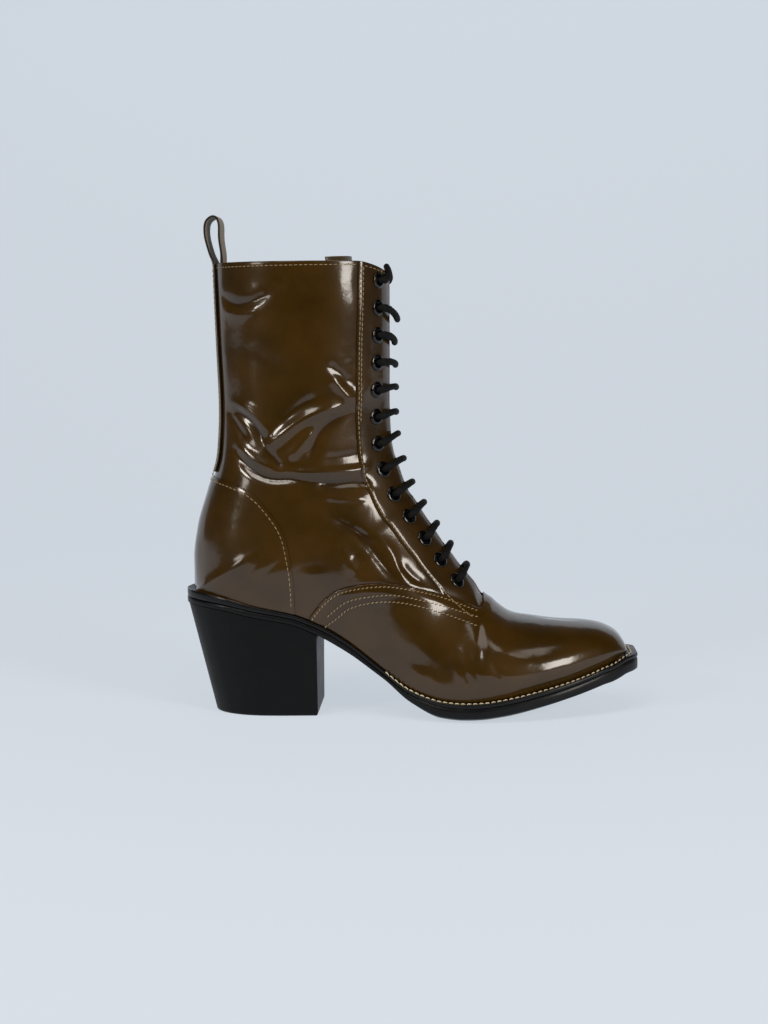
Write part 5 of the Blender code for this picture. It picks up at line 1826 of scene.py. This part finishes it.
@dataclass
class Lacing:
    """Eyelets and the waxed lace that runs through all of them."""

    upper: Upper
    bore: float = 0.0046
    barrel: float = 0.0058
    flange: float = 0.009
    flange_thickness: float = 0.0006
    seat_height: float = 0.0015
    lace_diameter: float = 0.0033
    clearance: float = 0.0004
    under_depth: float = 0.00365
    under_shift: float = 0.0032
    braid_mm: float = 2.6
    braid_depth: float = 0.00012
    bunch_share: float = 0.30
    bunch_reach: float = 0.0050
    bunch_width: float = 0.0022
    step_mm: float = 0.45
    # How far each bar sways up (slack) and forward (bow), in millimetres, from the collar down
    slack: tuple = (7.0, -6.5, -5.0, -3.4, -1.8, -1.4, 0.6, 0.3, 0.8, 0.6, 0.4, 0.8, 0.6)
    bow: tuple = (-3.0, 2.4, 1.0, 1.4, 1.8, 1.8, 2.2, 2.6, 2.4, 1.8, 1.4, 1.2, 1.6)

    def make_eyelets(self, enamel: bpy.types.Material) -> None:
        """Turned eyelets with a rolled flange, each on its own place.

        Args:
            enamel: The eyelets' finish.
        """
        b, w, f = self.bore / 2 / MM, self.barrel / 2 / MM, self.flange / 2 / MM
        profile = [(b, -2.9), (b, -0.2), (b + 0.05, 0.25), (b + 0.25, 0.5), (b + 0.6, 0.6),
                   (b + 1.2, 0.56), (f - 0.3, 0.36), (f - 0.06, 0.17), (f, 0.03), (f - 0.1, -0.1),
                   (w, -0.12), (w, -2.9)]
        segments = 28
        angles = np.linspace(0.0, 2 * math.pi, segments, endpoint=False)
        local = np.array([[(r * math.cos(a), r * math.sin(a), h) for a in angles]
                          for r, h in profile]).reshape(-1, 3) * MM
        closed = tube_faces(len(profile) + 1, segments) % (len(profile) * segments)
        faces = closed[:, [0, 3, 2, 1]]
        for side in Side:
            _, points, normals = self.upper.eyelets[side]
            for number, (point, normal) in enumerate(zip(points, normals), start=1):
                turn = np.array(Vector(normal).to_track_quat("Z", "Y").to_matrix())
                placed = local @ turn.T + point + normal * self.seat_height
                name = "%s_%02d" % (side.name.lower(), number)
                ring = add_piece("eyelet_ring_" + name, placed, faces, [enamel],
                                 sharp_degrees=50.0)
                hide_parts("eyelet_" + name)

    def bar(self, number: int, start: Side) -> list:
        """Path of one bar over the throat, from one side's bore to the other's.

        Args:
            number: The bar's number, from the collar down.
            start: The side that it starts from.

        Returns:
            Points of the path.
        """
        last = self.upper.last
        flange_top = self.seat_height + self.flange_thickness
        radius = self.lace_diameter / 2
        high = flange_top + self.clearance + radius
        flat = 0.0011 + self.clearance + radius
        steps = [(0.0, -1.2 * MM), (0.0, flange_top - 1.0 * MM), (0.0008, high - 0.5 * MM),
                 (0.0026, high + 0.1 * MM), (0.0063, high), (0.0110, flat)]
        halves = {}
        for side in Side:
            row = self.upper.eyelets[side][0][number:number + 1]
            half = []
            for inward, height in steps:
                point, normal = self.upper.on_throat(side, row, last.eyelet_line - inward)
                sway = rise_to(inward, 0.0, 0.0155) * MM
                half.append(point[0] + normal[0] * height + np.array([
                    self.bow[number] * sway, 0.0, self.slack[number] * sway]))
            halves[side] = half
        far = start.other
        middle = (halves[start][-1] + halves[far][-1]) / 2
        middle = middle + np.array([self.bow[number], 0.0, self.slack[number]]) * 0.3 * MM
        return halves[start] + [middle] + halves[far][::-1]

    def under(self, side: Side, low: int, high: int, shift: float) -> list:
        """Path of a run inside the wall, up from one eyelet to another.

        Args:
            side: The side.
            low: Number of the eyelet that it leaves.
            high: Number of the eyelet that it comes to.
            shift: How far it runs beside the eyelets, in metres.

        Returns:
            Points of the path.
        """
        rows = self.upper.eyelets[side][0]
        path = []
        for share in (0.0, 0.18, 0.5, 0.82, 1.0):
            row = np.array([rows[low] + (rows[high] - rows[low]) * share])
            aside = shift * (0.0 if share in (0.0, 1.0) else 1.0)
            point, normal = self.upper.on_throat(side, row, self.upper.last.eyelet_line + aside)
            path.append(point[0] - normal[0] * self.under_depth)
        return path

    def route(self) -> np.ndarray:
        """The lace's whole path: two ends that take every other bar up from the lowest.

        Returns:
            Points of the path.
        """
        last = self.upper.eyelet_count - 1
        ends = []
        for side, first, shift in ((Side.LATERAL, last - 1, -self.under_shift),
                                   (Side.MEDIAL, last - 2, self.under_shift)):
            path = []
            here = last
            for number in range(first, -1, -2):
                path += self.under(side, here, number, shift)
                path += self.bar(number, side)
                side = side.other
                here = number
            path.append(self.under(side, here, here, 0.0)[0])
            ends.append(path)
        return np.array(ends[0][::-1] + self.bar(last, Side.LATERAL) + ends[1])

    def swelling(self, centre: np.ndarray) -> np.ndarray:
        """Factor on the lace's radius: it bunches where it comes out of an eyelet.

        Args:
            centre: Points of the lace's centre line.

        Returns:
            One factor for each point.
        """
        places = np.concatenate([self.upper.eyelets[side][1] for side in Side])
        normals = np.concatenate([self.upper.eyelets[side][2] for side in Side])
        away = centre[:, None, :] - places[None]
        distance = np.linalg.norm(away, axis=2)
        nearest = distance.argmin(axis=1)
        each = np.arange(len(centre))
        height = (away[each, nearest] * normals[nearest]).sum(axis=1)
        bunch = np.exp(-((distance[each, nearest] - self.bunch_reach) / self.bunch_width) ** 2)
        return 1.0 + self.bunch_share * bunch * rise_to(height, 1.0 * MM, 2.5 * MM)

    def make_lace(self, yarn: bpy.types.Material) -> bpy.types.Object:
        """Round braided lace swept along its path, the braid's plaits raised.

        Args:
            yarn: The lace's finish.

        Returns:
            The piece.
        """
        centre = curve_through(self.route(), self.step_mm * MM)
        tangent = unit(np.gradient(centre, axis=0))
        side = np.zeros_like(centre)
        guide = np.cross(tangent[0], np.array([0.0, 0.0, 1.0]))
        for k, along in enumerate(tangent):
            guide = guide - along * float(guide @ along)
            guide = guide / max(float(np.linalg.norm(guide)), 1e-9)
            side[k] = guide
        other = np.cross(tangent, side)
        sides = 16
        angles = np.linspace(0.0, 2 * math.pi, sides, endpoint=False)[None, :]
        run = (np.arange(len(centre)) * self.step_mm)[:, None]
        wave = 2 * math.pi * run / self.braid_mm
        plait = np.maximum(np.sin(wave + 2 * angles), np.sin(wave - 2 * angles + math.pi / 2))
        radius = self.lace_diameter / 2 * self.swelling(centre)[:, None]
        radius = radius + self.braid_depth * (plait - 0.6)
        points = (centre[:, None, :] + side[:, None, :] * (np.cos(angles) * radius)[..., None]
                  + other[:, None, :] * (np.sin(angles) * radius)[..., None])
        lace = add_piece("waxed_lace", points.reshape(-1, 3), tube_faces(len(centre), sides),
                         [yarn])
        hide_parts(*["lace_bar_%02d" % n for n in range(1, self.upper.eyelet_count + 1)])
        return lace


@dataclass
class Stitching:
    """Rows of stitches, each stitch a short run of thread that dips into the leather."""

    upper: Upper
    sole: Sole

    def stitches(self, name: str, parts: list, length_mm: float, radius_mm: float,
                 yarn: bpy.types.Material, slant: float = 0.0) -> bpy.types.Object:
        """One piece of all the stitches of a seam.

        Args:
            name: The piece's name.
            parts: Pairs of places and normals, one for each row of stitches.
            length_mm: Length of a stitch.
            radius_mm: Radius of the thread.
            yarn: Its material.
            slant: Turn of each stitch about the normal, in radians.

        Returns:
            The piece.
        """
        rings = [(-0.5, 0.35, -1.1), (-0.42, 0.8, -0.35), (-0.2, 1.0, 0.1), (0.0, 1.05, 0.2),
                 (0.2, 1.0, 0.1), (0.42, 0.8, -0.35), (0.5, 0.35, -1.1)]
        sides = 7
        angles = np.linspace(0.0, 2 * math.pi, sides, endpoint=False)
        faces = tube_faces(len(rings), sides)
        all_points = []
        all_faces = []
        size = len(rings) * sides
        for places, normals in parts:
            along = unit(np.gradient(places, axis=0))
            for place, direction, normal in zip(places, along, normals):
                across = np.cross(normal, direction)
                across = across / max(float(np.linalg.norm(across)), 1e-9)
                heading = direction * math.cos(slant) + across * math.sin(slant)
                over = np.cross(normal, heading)
                block = []
                for shift, thick, height in rings:
                    middle = (place + heading * shift * length_mm * MM
                              + normal * height * radius_mm * MM)
                    block.append(middle + (np.cos(angles)[:, None] * over
                                           + np.sin(angles)[:, None] * normal)
                                 * thick * radius_mm * MM)
                all_faces.append(faces + len(all_points) * size)
                all_points.append(np.vstack(block))
        piece = add_piece(name, np.vstack(all_points), np.vstack(all_faces), [yarn])
        return piece

    def spaced(self, points: np.ndarray, normals: np.ndarray,
               pitch_mm: float) -> tuple[np.ndarray, np.ndarray]:
        """Places at an even pitch along a line, with its normals.

        Args:
            points: The line's points.
            normals: Their normals.
            pitch_mm: Pitch of the stitches.

        Returns:
            Places and normals.
        """
        run = run_along(points)
        count = int(run[-1] / (pitch_mm * MM))
        where = (np.arange(count) + 0.5) * run[-1] / max(count, 1)
        both = np.concatenate([points, normals], axis=1)
        found = np.stack([np.interp(where, run, axis) for axis in both.T], axis=1)
        return found[:, :3], unit(found[:, 3:])

    def on_side(self, side: Side, path: list, height_mm: float,
                pitch_mm: float) -> tuple[np.ndarray, np.ndarray]:
        """Places along a side-view path, on the leather.

        Args:
            side: The side.
            path: Side-view points (x, z), in millimetres.
            height_mm: Height over the form.
            pitch_mm: Pitch of the stitches.

        Returns:
            Places and normals.
        """
        flat = curve_through(path, 1.0) * MM
        rows, signed = self.upper.last.find(flat, side)
        points, normals, _ = self.upper.leather.lay(rows, signed, height_mm * MM)
        return self.spaced(points, normals, pitch_mm)

    def along_rows(self, side: Side, rows: np.ndarray, distance_mm: float, height_mm: float,
                   pitch_mm: float) -> tuple[np.ndarray, np.ndarray]:
        """Places along the eyestay, at a distance from the ridge.

        Args:
            side: The side.
            rows: Rows of the line.
            distance_mm: Distance from the ridge.
            height_mm: Height over the form.
            pitch_mm: Pitch of the stitches.

        Returns:
            Places and normals.
        """
        signed = side.value * distance_mm * MM / self.upper.last.length(rows, side)
        points, normals, _ = self.upper.leather.lay(rows, signed, height_mm * MM)
        return self.spaced(points, normals, pitch_mm)

    def sew(self, tan: bpy.types.Material, cream: bpy.types.Material) -> None:
        """Sews every seam.

        Args:
            tan: Thread of the upper.
            cream: Thread of the welt.
        """
        last = self.upper.last
        rows = np.linspace(10.35, 26.93, 260)
        upper_rows = np.linspace(22.4, 26.93, 120)
        eyestay, counter, vamp, collar = [], [], [], []
        for side in Side:
            eyestay.append(self.along_rows(side, rows, 30.7, 1.05, 2.7))
            eyestay.append(self.along_rows(side, upper_rows, 29.3, 1.22, 2.7))
            counter.append(self.on_side(side, [
                (-37, 131.6), (-23, 128.6), (-8.8, 122.9), (2.0, 111.6), (8.3, 101), (11.1, 89.2),
                (12.8, 78.4), (13.3, 70), (13.3, 62)], 1.22, 2.9))
            for path, height in (
                    ([(23.6, 53.5), (31, 62.9), (39.3, 69.5), (50.3, 72.6), (64.5, 73.7),
                      (77.7, 71.7), (95.7, 66.6), (115.8, 57.9)], 0.86),
                    ([(33, 56.6), (44, 65.3), (57, 68.4), (70, 69.0), (82, 66.3), (96, 62.2),
                      (116, 54.8)], 1.2),
                    ([(30.8, 50), (39.2, 56.4), (46.4, 62.0), (59.6, 65.2), (75, 64.7),
                      (95.8, 58.6), (115.5, 50.8)], 0.85)):
                vamp.append(self.on_side(side, path, height, 2.35))
            length = last.length(np.array([26.95]), side)[0] / MM
            distances = np.linspace(33.0, length - 10.5, 90)
            signed = side.value * distances / length
            points, normals, _ = self.upper.leather.lay(
                np.full_like(distances, 26.95), signed, 0.12 * MM)
            collar.append(self.spaced(points, normals, 2.7))
            front = np.linspace(9.2, 29.0, 40)
            points, normals, _ = self.upper.leather.lay(
                np.full_like(front, 26.94), side.value * front / length, 1.22 * MM)
            collar.append(self.spaced(points, normals, 2.7))
        self.stitches("stitches_eyestay", eyestay, 2.2, 0.27, tan)
        self.stitches("stitches_counter", counter, 2.1, 0.27, tan)
        self.stitches("stitches_vamp", vamp, 1.75, 0.30, tan, 0.35)
        self.stitches("stitches_collar", collar, 2.0, 0.25, tan)
        self.sew_strap(tan)
        self.sew_tongue(tan)
        self.sew_welt(cream)

    def sew_strap(self, tan: bpy.types.Material) -> None:
        """Stitches down both edges of the backstay strip.

        Args:
            tan: Finish of the thread.
        """
        parts = []
        for side in Side:
            rows = np.linspace(23.6, 26.95, 90)
            length = self.upper.last.length(rows, side)
            signed = side.value * (1.0 - 7.9 * MM / length)
            points = self.upper.last.place(rows, signed)
            normals = self.upper.last.normal(rows, signed)
            parts.append(self.spaced(points + normals * 1.72 * MM, normals, 2.9))
        self.stitches("stitches_strap", parts, 2.0, 0.25, tan)

    def sew_tongue(self, tan: bpy.types.Material) -> None:
        """Stitches below the tongue's top edge.

        Args:
            tan: Finish of the thread.
        """
        last = self.upper.last
        signs = np.linspace(-0.94, 0.94, 80)
        length = min(last.length(np.array([27.0]), side)[0] for side in Side)
        signed = signs * self.upper.tongue_half_mm * MM / length
        rows = last.dip(np.full_like(signed, 27.0), signed)
        normals = last.normal(rows, signed)
        points = last.place(rows, signed) - normals * 5.38 * MM
        points[:, 0] -= 8.0 * MM
        points[:, 2] = points[:, 2].max() + 0.6 * MM
        self.stitches("stitches_tongue", [self.spaced(points, normals, 2.9)], 2.1, 0.26, tan)

    def sew_welt(self, cream: bpy.types.Material) -> None:
        """Rope-like stitches on the welt, round the toe from the waist on both sides.

        Args:
            cream: Finish of the thread.
        """
        ring = self.sole.loop(1.9 * MM, True)
        along = self.upper.last.along_of(ring[:, 0])
        chosen = ring[:, 0] > 64 * MM
        z = self.sole.welt_top(along) + 0.12 * MM
        points = np.column_stack([ring, z])[chosen]
        steps = np.linalg.norm(np.diff(points, axis=0), axis=1)
        points = points[np.concatenate([[True], steps > 1e-6])]
        outward = unit(np.cross(np.gradient(points, axis=0), np.array([0.0, 0.0, -1.0])))
        normals = unit(outward * 0.55 + np.array([0.0, 0.0, 1.0]))
        self.stitches("stitches_welt", [self.spaced(points, normals, 3.3)], 2.9, 0.42, cream,
                      0.30)


@dataclass
class Studio:
    """Pale floor and backdrop, soft boxes, and the camera at the photograph's angle."""

    camera_place: tuple[float, float, float] = (0.10785, -1.0, 0.21404)
    yaw_degrees: float = 2.533
    tilt_degrees: float = 5.850
    roll_degrees: float = -0.5
    lens_mm: float = 62.8
    paper: str = "#7c8187"
    paper_glow: str = "#d3dbe4"
    glow_strength: float = 0.80
    room: str = "#8e959e"
    room_strength: float = 0.03
    lamp_tint: tuple[float, float, float] = (1.0, 0.94, 0.86)

    def make_camera(self) -> None:
        """Camera on the lateral side, a little above the ankle."""
        yaw = math.radians(self.yaw_degrees)
        tilt = math.radians(self.tilt_degrees)
        forward = Vector((-math.sin(yaw) * math.cos(tilt), math.cos(yaw) * math.cos(tilt),
                          -math.sin(tilt)))
        right = forward.cross(Vector((0.0, 0.0, 1.0))).normalized()
        up = right.cross(forward)
        frame = Matrix((right, up, -forward)).transposed().to_4x4()
        data = bpy.data.cameras.new("photo_camera")
        data.lens = self.lens_mm
        data.sensor_width = 36.0
        data.clip_start = 0.05
        camera = bpy.data.objects.new("photo_camera", data)
        roll = Matrix.Rotation(math.radians(self.roll_degrees), 4, "Z")
        camera.matrix_world = Matrix.Translation(Vector(self.camera_place)) @ frame @ roll
        bpy.context.scene.collection.objects.link(camera)
        bpy.context.scene.camera = camera

    def make_backdrop(self) -> None:
        """Paper sweep: floor, curve and wall in one sheet, evenly pale."""
        front, back, radius, top = -0.52, 0.7, 0.6, 1.1
        profile = [(front, 0.0), (back, 0.0)]
        for angle in np.linspace(0.0, math.pi / 2, 14)[1:]:
            profile.append((back + radius * math.sin(angle), radius - radius * math.cos(angle)))
        profile.append((back + radius, top))
        points = np.array([(x, y, z) for x in (-2.6, 2.8) for y, z in profile])
        count = len(profile)
        faces = [(k, k + count, k + count + 1, k + 1) for k in range(count - 1)]
        mesh = bpy.data.meshes.new("paper_sweep")
        mesh.from_pydata(points.tolist(), [], faces)
        mesh.polygons.foreach_set("use_smooth", np.ones(len(mesh.polygons), dtype=bool))
        material, _, shader = new_material("matt_backdrop_paper")
        # A dull sheet that glows evenly, so that lamps draw no pool or hard shadow on it
        settle(shader, {"Base Color": linear(self.paper), "Roughness": 1.0,
                        "Specular IOR Level": 0.1, "Emission Color": linear(self.paper_glow),
                        "Emission Strength": self.glow_strength})
        mesh.materials.append(material)
        sweep = bpy.data.objects.new("paper_sweep", mesh)
        bpy.context.scene.collection.objects.link(sweep)

    def soft_box(self, name: str, place: tuple, aim: tuple, size: tuple, power: float) -> None:
        """One rectangular soft box.

        Args:
            name: Its name.
            place: Where it stands, in metres.
            aim: What it points at.
            size: Width and height in metres.
            power: Its power in watts.
        """
        data = bpy.data.lights.new(name, "AREA")
        data.shape = "RECTANGLE"
        data.size, data.size_y = size
        data.energy = power
        data.color = self.lamp_tint
        lamp = bpy.data.objects.new(name, data)
        lamp.location = place
        direction = Vector(aim) - Vector(place)
        lamp.rotation_euler = direction.to_track_quat("-Z", "Y").to_euler()
        bpy.context.scene.collection.objects.link(lamp)

    def make_lights(self) -> None:
        """Soft boxes to the right, the left and above, over a dim room."""
        for box in (
                ("box_right", (1.05, -1.0, 0.46), (0.05, 0.0, 0.16), (0.36, 0.62), 10.5),
                ("box_left", (-0.80, -0.85, 0.66), (0.0, 0.0, 0.12), (0.30, 0.22), 4.6),
                ("box_vamp", (-0.24, -0.83, 1.02), (0.08, 0.0, 0.04), (0.30, 0.30), 2.6),
                ("box_counter", (-0.93, -0.86, 0.30), (0.0, 0.0, 0.11), (0.22, 0.16), 0.85),
                ("box_top", (0.15, -0.45, 1.5), (0.08, 0.0, 0.1), (1.0, 0.6), 4.2)):
            self.soft_box(*box)
        world = bpy.data.worlds.new("dim_room")
        world.use_nodes = True
        back = world.node_tree.nodes["Background"]
        back.inputs["Color"].default_value = linear(self.room)
        back.inputs["Strength"].default_value = self.room_strength
        bpy.context.scene.world = world
        bpy.context.scene.view_settings.view_transform = "Standard"


CALF = PolishedCalf("polished_box_calf", "#312000", "#3f2902", "#251500")
STAY_CALF = PolishedCalf("polished_box_calf_eyestay", "#2d1d04", "#3b2809", "#211402")
TONGUE_CALF = PlainHide("matt_tongue_calf", "#38290f", "#4b3a1c", 0.5, 1.1, 0.05, 0.3)
STRAP_TAPE = PlainHide("taupe_grosgrain_tape", "#7d7468", "#968c7f", 0.7, 0.9, 0.05)
STRAP_FACE = PlainHide("backstay_calf", "#2c1d08", "#3d2a10", 0.42, 1.0, 0.04, 0.5)
STRAP_EDGE = InkedEdge("inked_strap_edge", "#1c1713", "#2d2620", 0.5)
LINING = PlainHide("natural_pigskin_lining", "#a98a62", "#bd9f78", 0.65, 1.4, 0.08)
LACQUER = InkedEdge("burnished_stacked_heel", "#040404", "#090909", 0.45, 4.2, 0.02, 0.05)
WELT_INK = InkedEdge("inked_leather_welt", "#080809", "#111112", 0.38, 30.0, 0.0, 0.25)
SOLE_INK = InkedEdge("inked_sole_edge", "#070708", "#0f0f10", 0.42, 30.0, 0.0, 0.15)
ENAMEL = Enamel("black_enamelled_brass", "#050506")
LACE_YARN = Yarn("waxed_braided_cotton", "#030303", "#080809", 0.75, 0.0)
TAN_THREAD = Yarn("bonded_tan_thread", "#7b6749", "#a08c6a", 0.6, 0.1)
CREAM_THREAD = Yarn("waxed_cream_thread", "#b3a585", "#d8ccb0", 0.6, 0.1)


def main() -> None:
    """Builds the boot in order, then the studio."""
    logging.basicConfig(level=logging.INFO, format="%(name)s %(message)s")
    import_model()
    last = Last()
    upper = Upper(Leather(last, Creases()))
    sole = Sole(last)
    calf = CALF.make()
    stay = STAY_CALF.make()
    upper.make_quarters(calf)
    upper.make_lining(LINING.make())
    upper.make_vamp(calf)
    upper.make_counter(calf)
    for side in Side:
        upper.make_facing(side, stay)
    upper.make_tongue(TONGUE_CALF.make())
    tape, edge = STRAP_TAPE.make(), STRAP_EDGE.make()
    upper.make_pull_strap([tape, tape, edge, tape, STRAP_FACE.make(), edge])
    sole.make_insole(LINING.make())
    sole.make_welt(WELT_INK.make())
    sole.make_outsole(SOLE_INK.make())
    sole.make_heel(LACQUER.make())
    lacing = Lacing(upper)
    lacing.make_eyelets(ENAMEL.make())
    lacing.make_lace(LACE_YARN.make())
    Stitching(upper, sole).sew(TAN_THREAD.make(), CREAM_THREAD.make())
    studio = Studio()
    studio.make_camera()
    studio.make_backdrop()
    studio.make_lights()


if __name__ == "__main__":
    main()
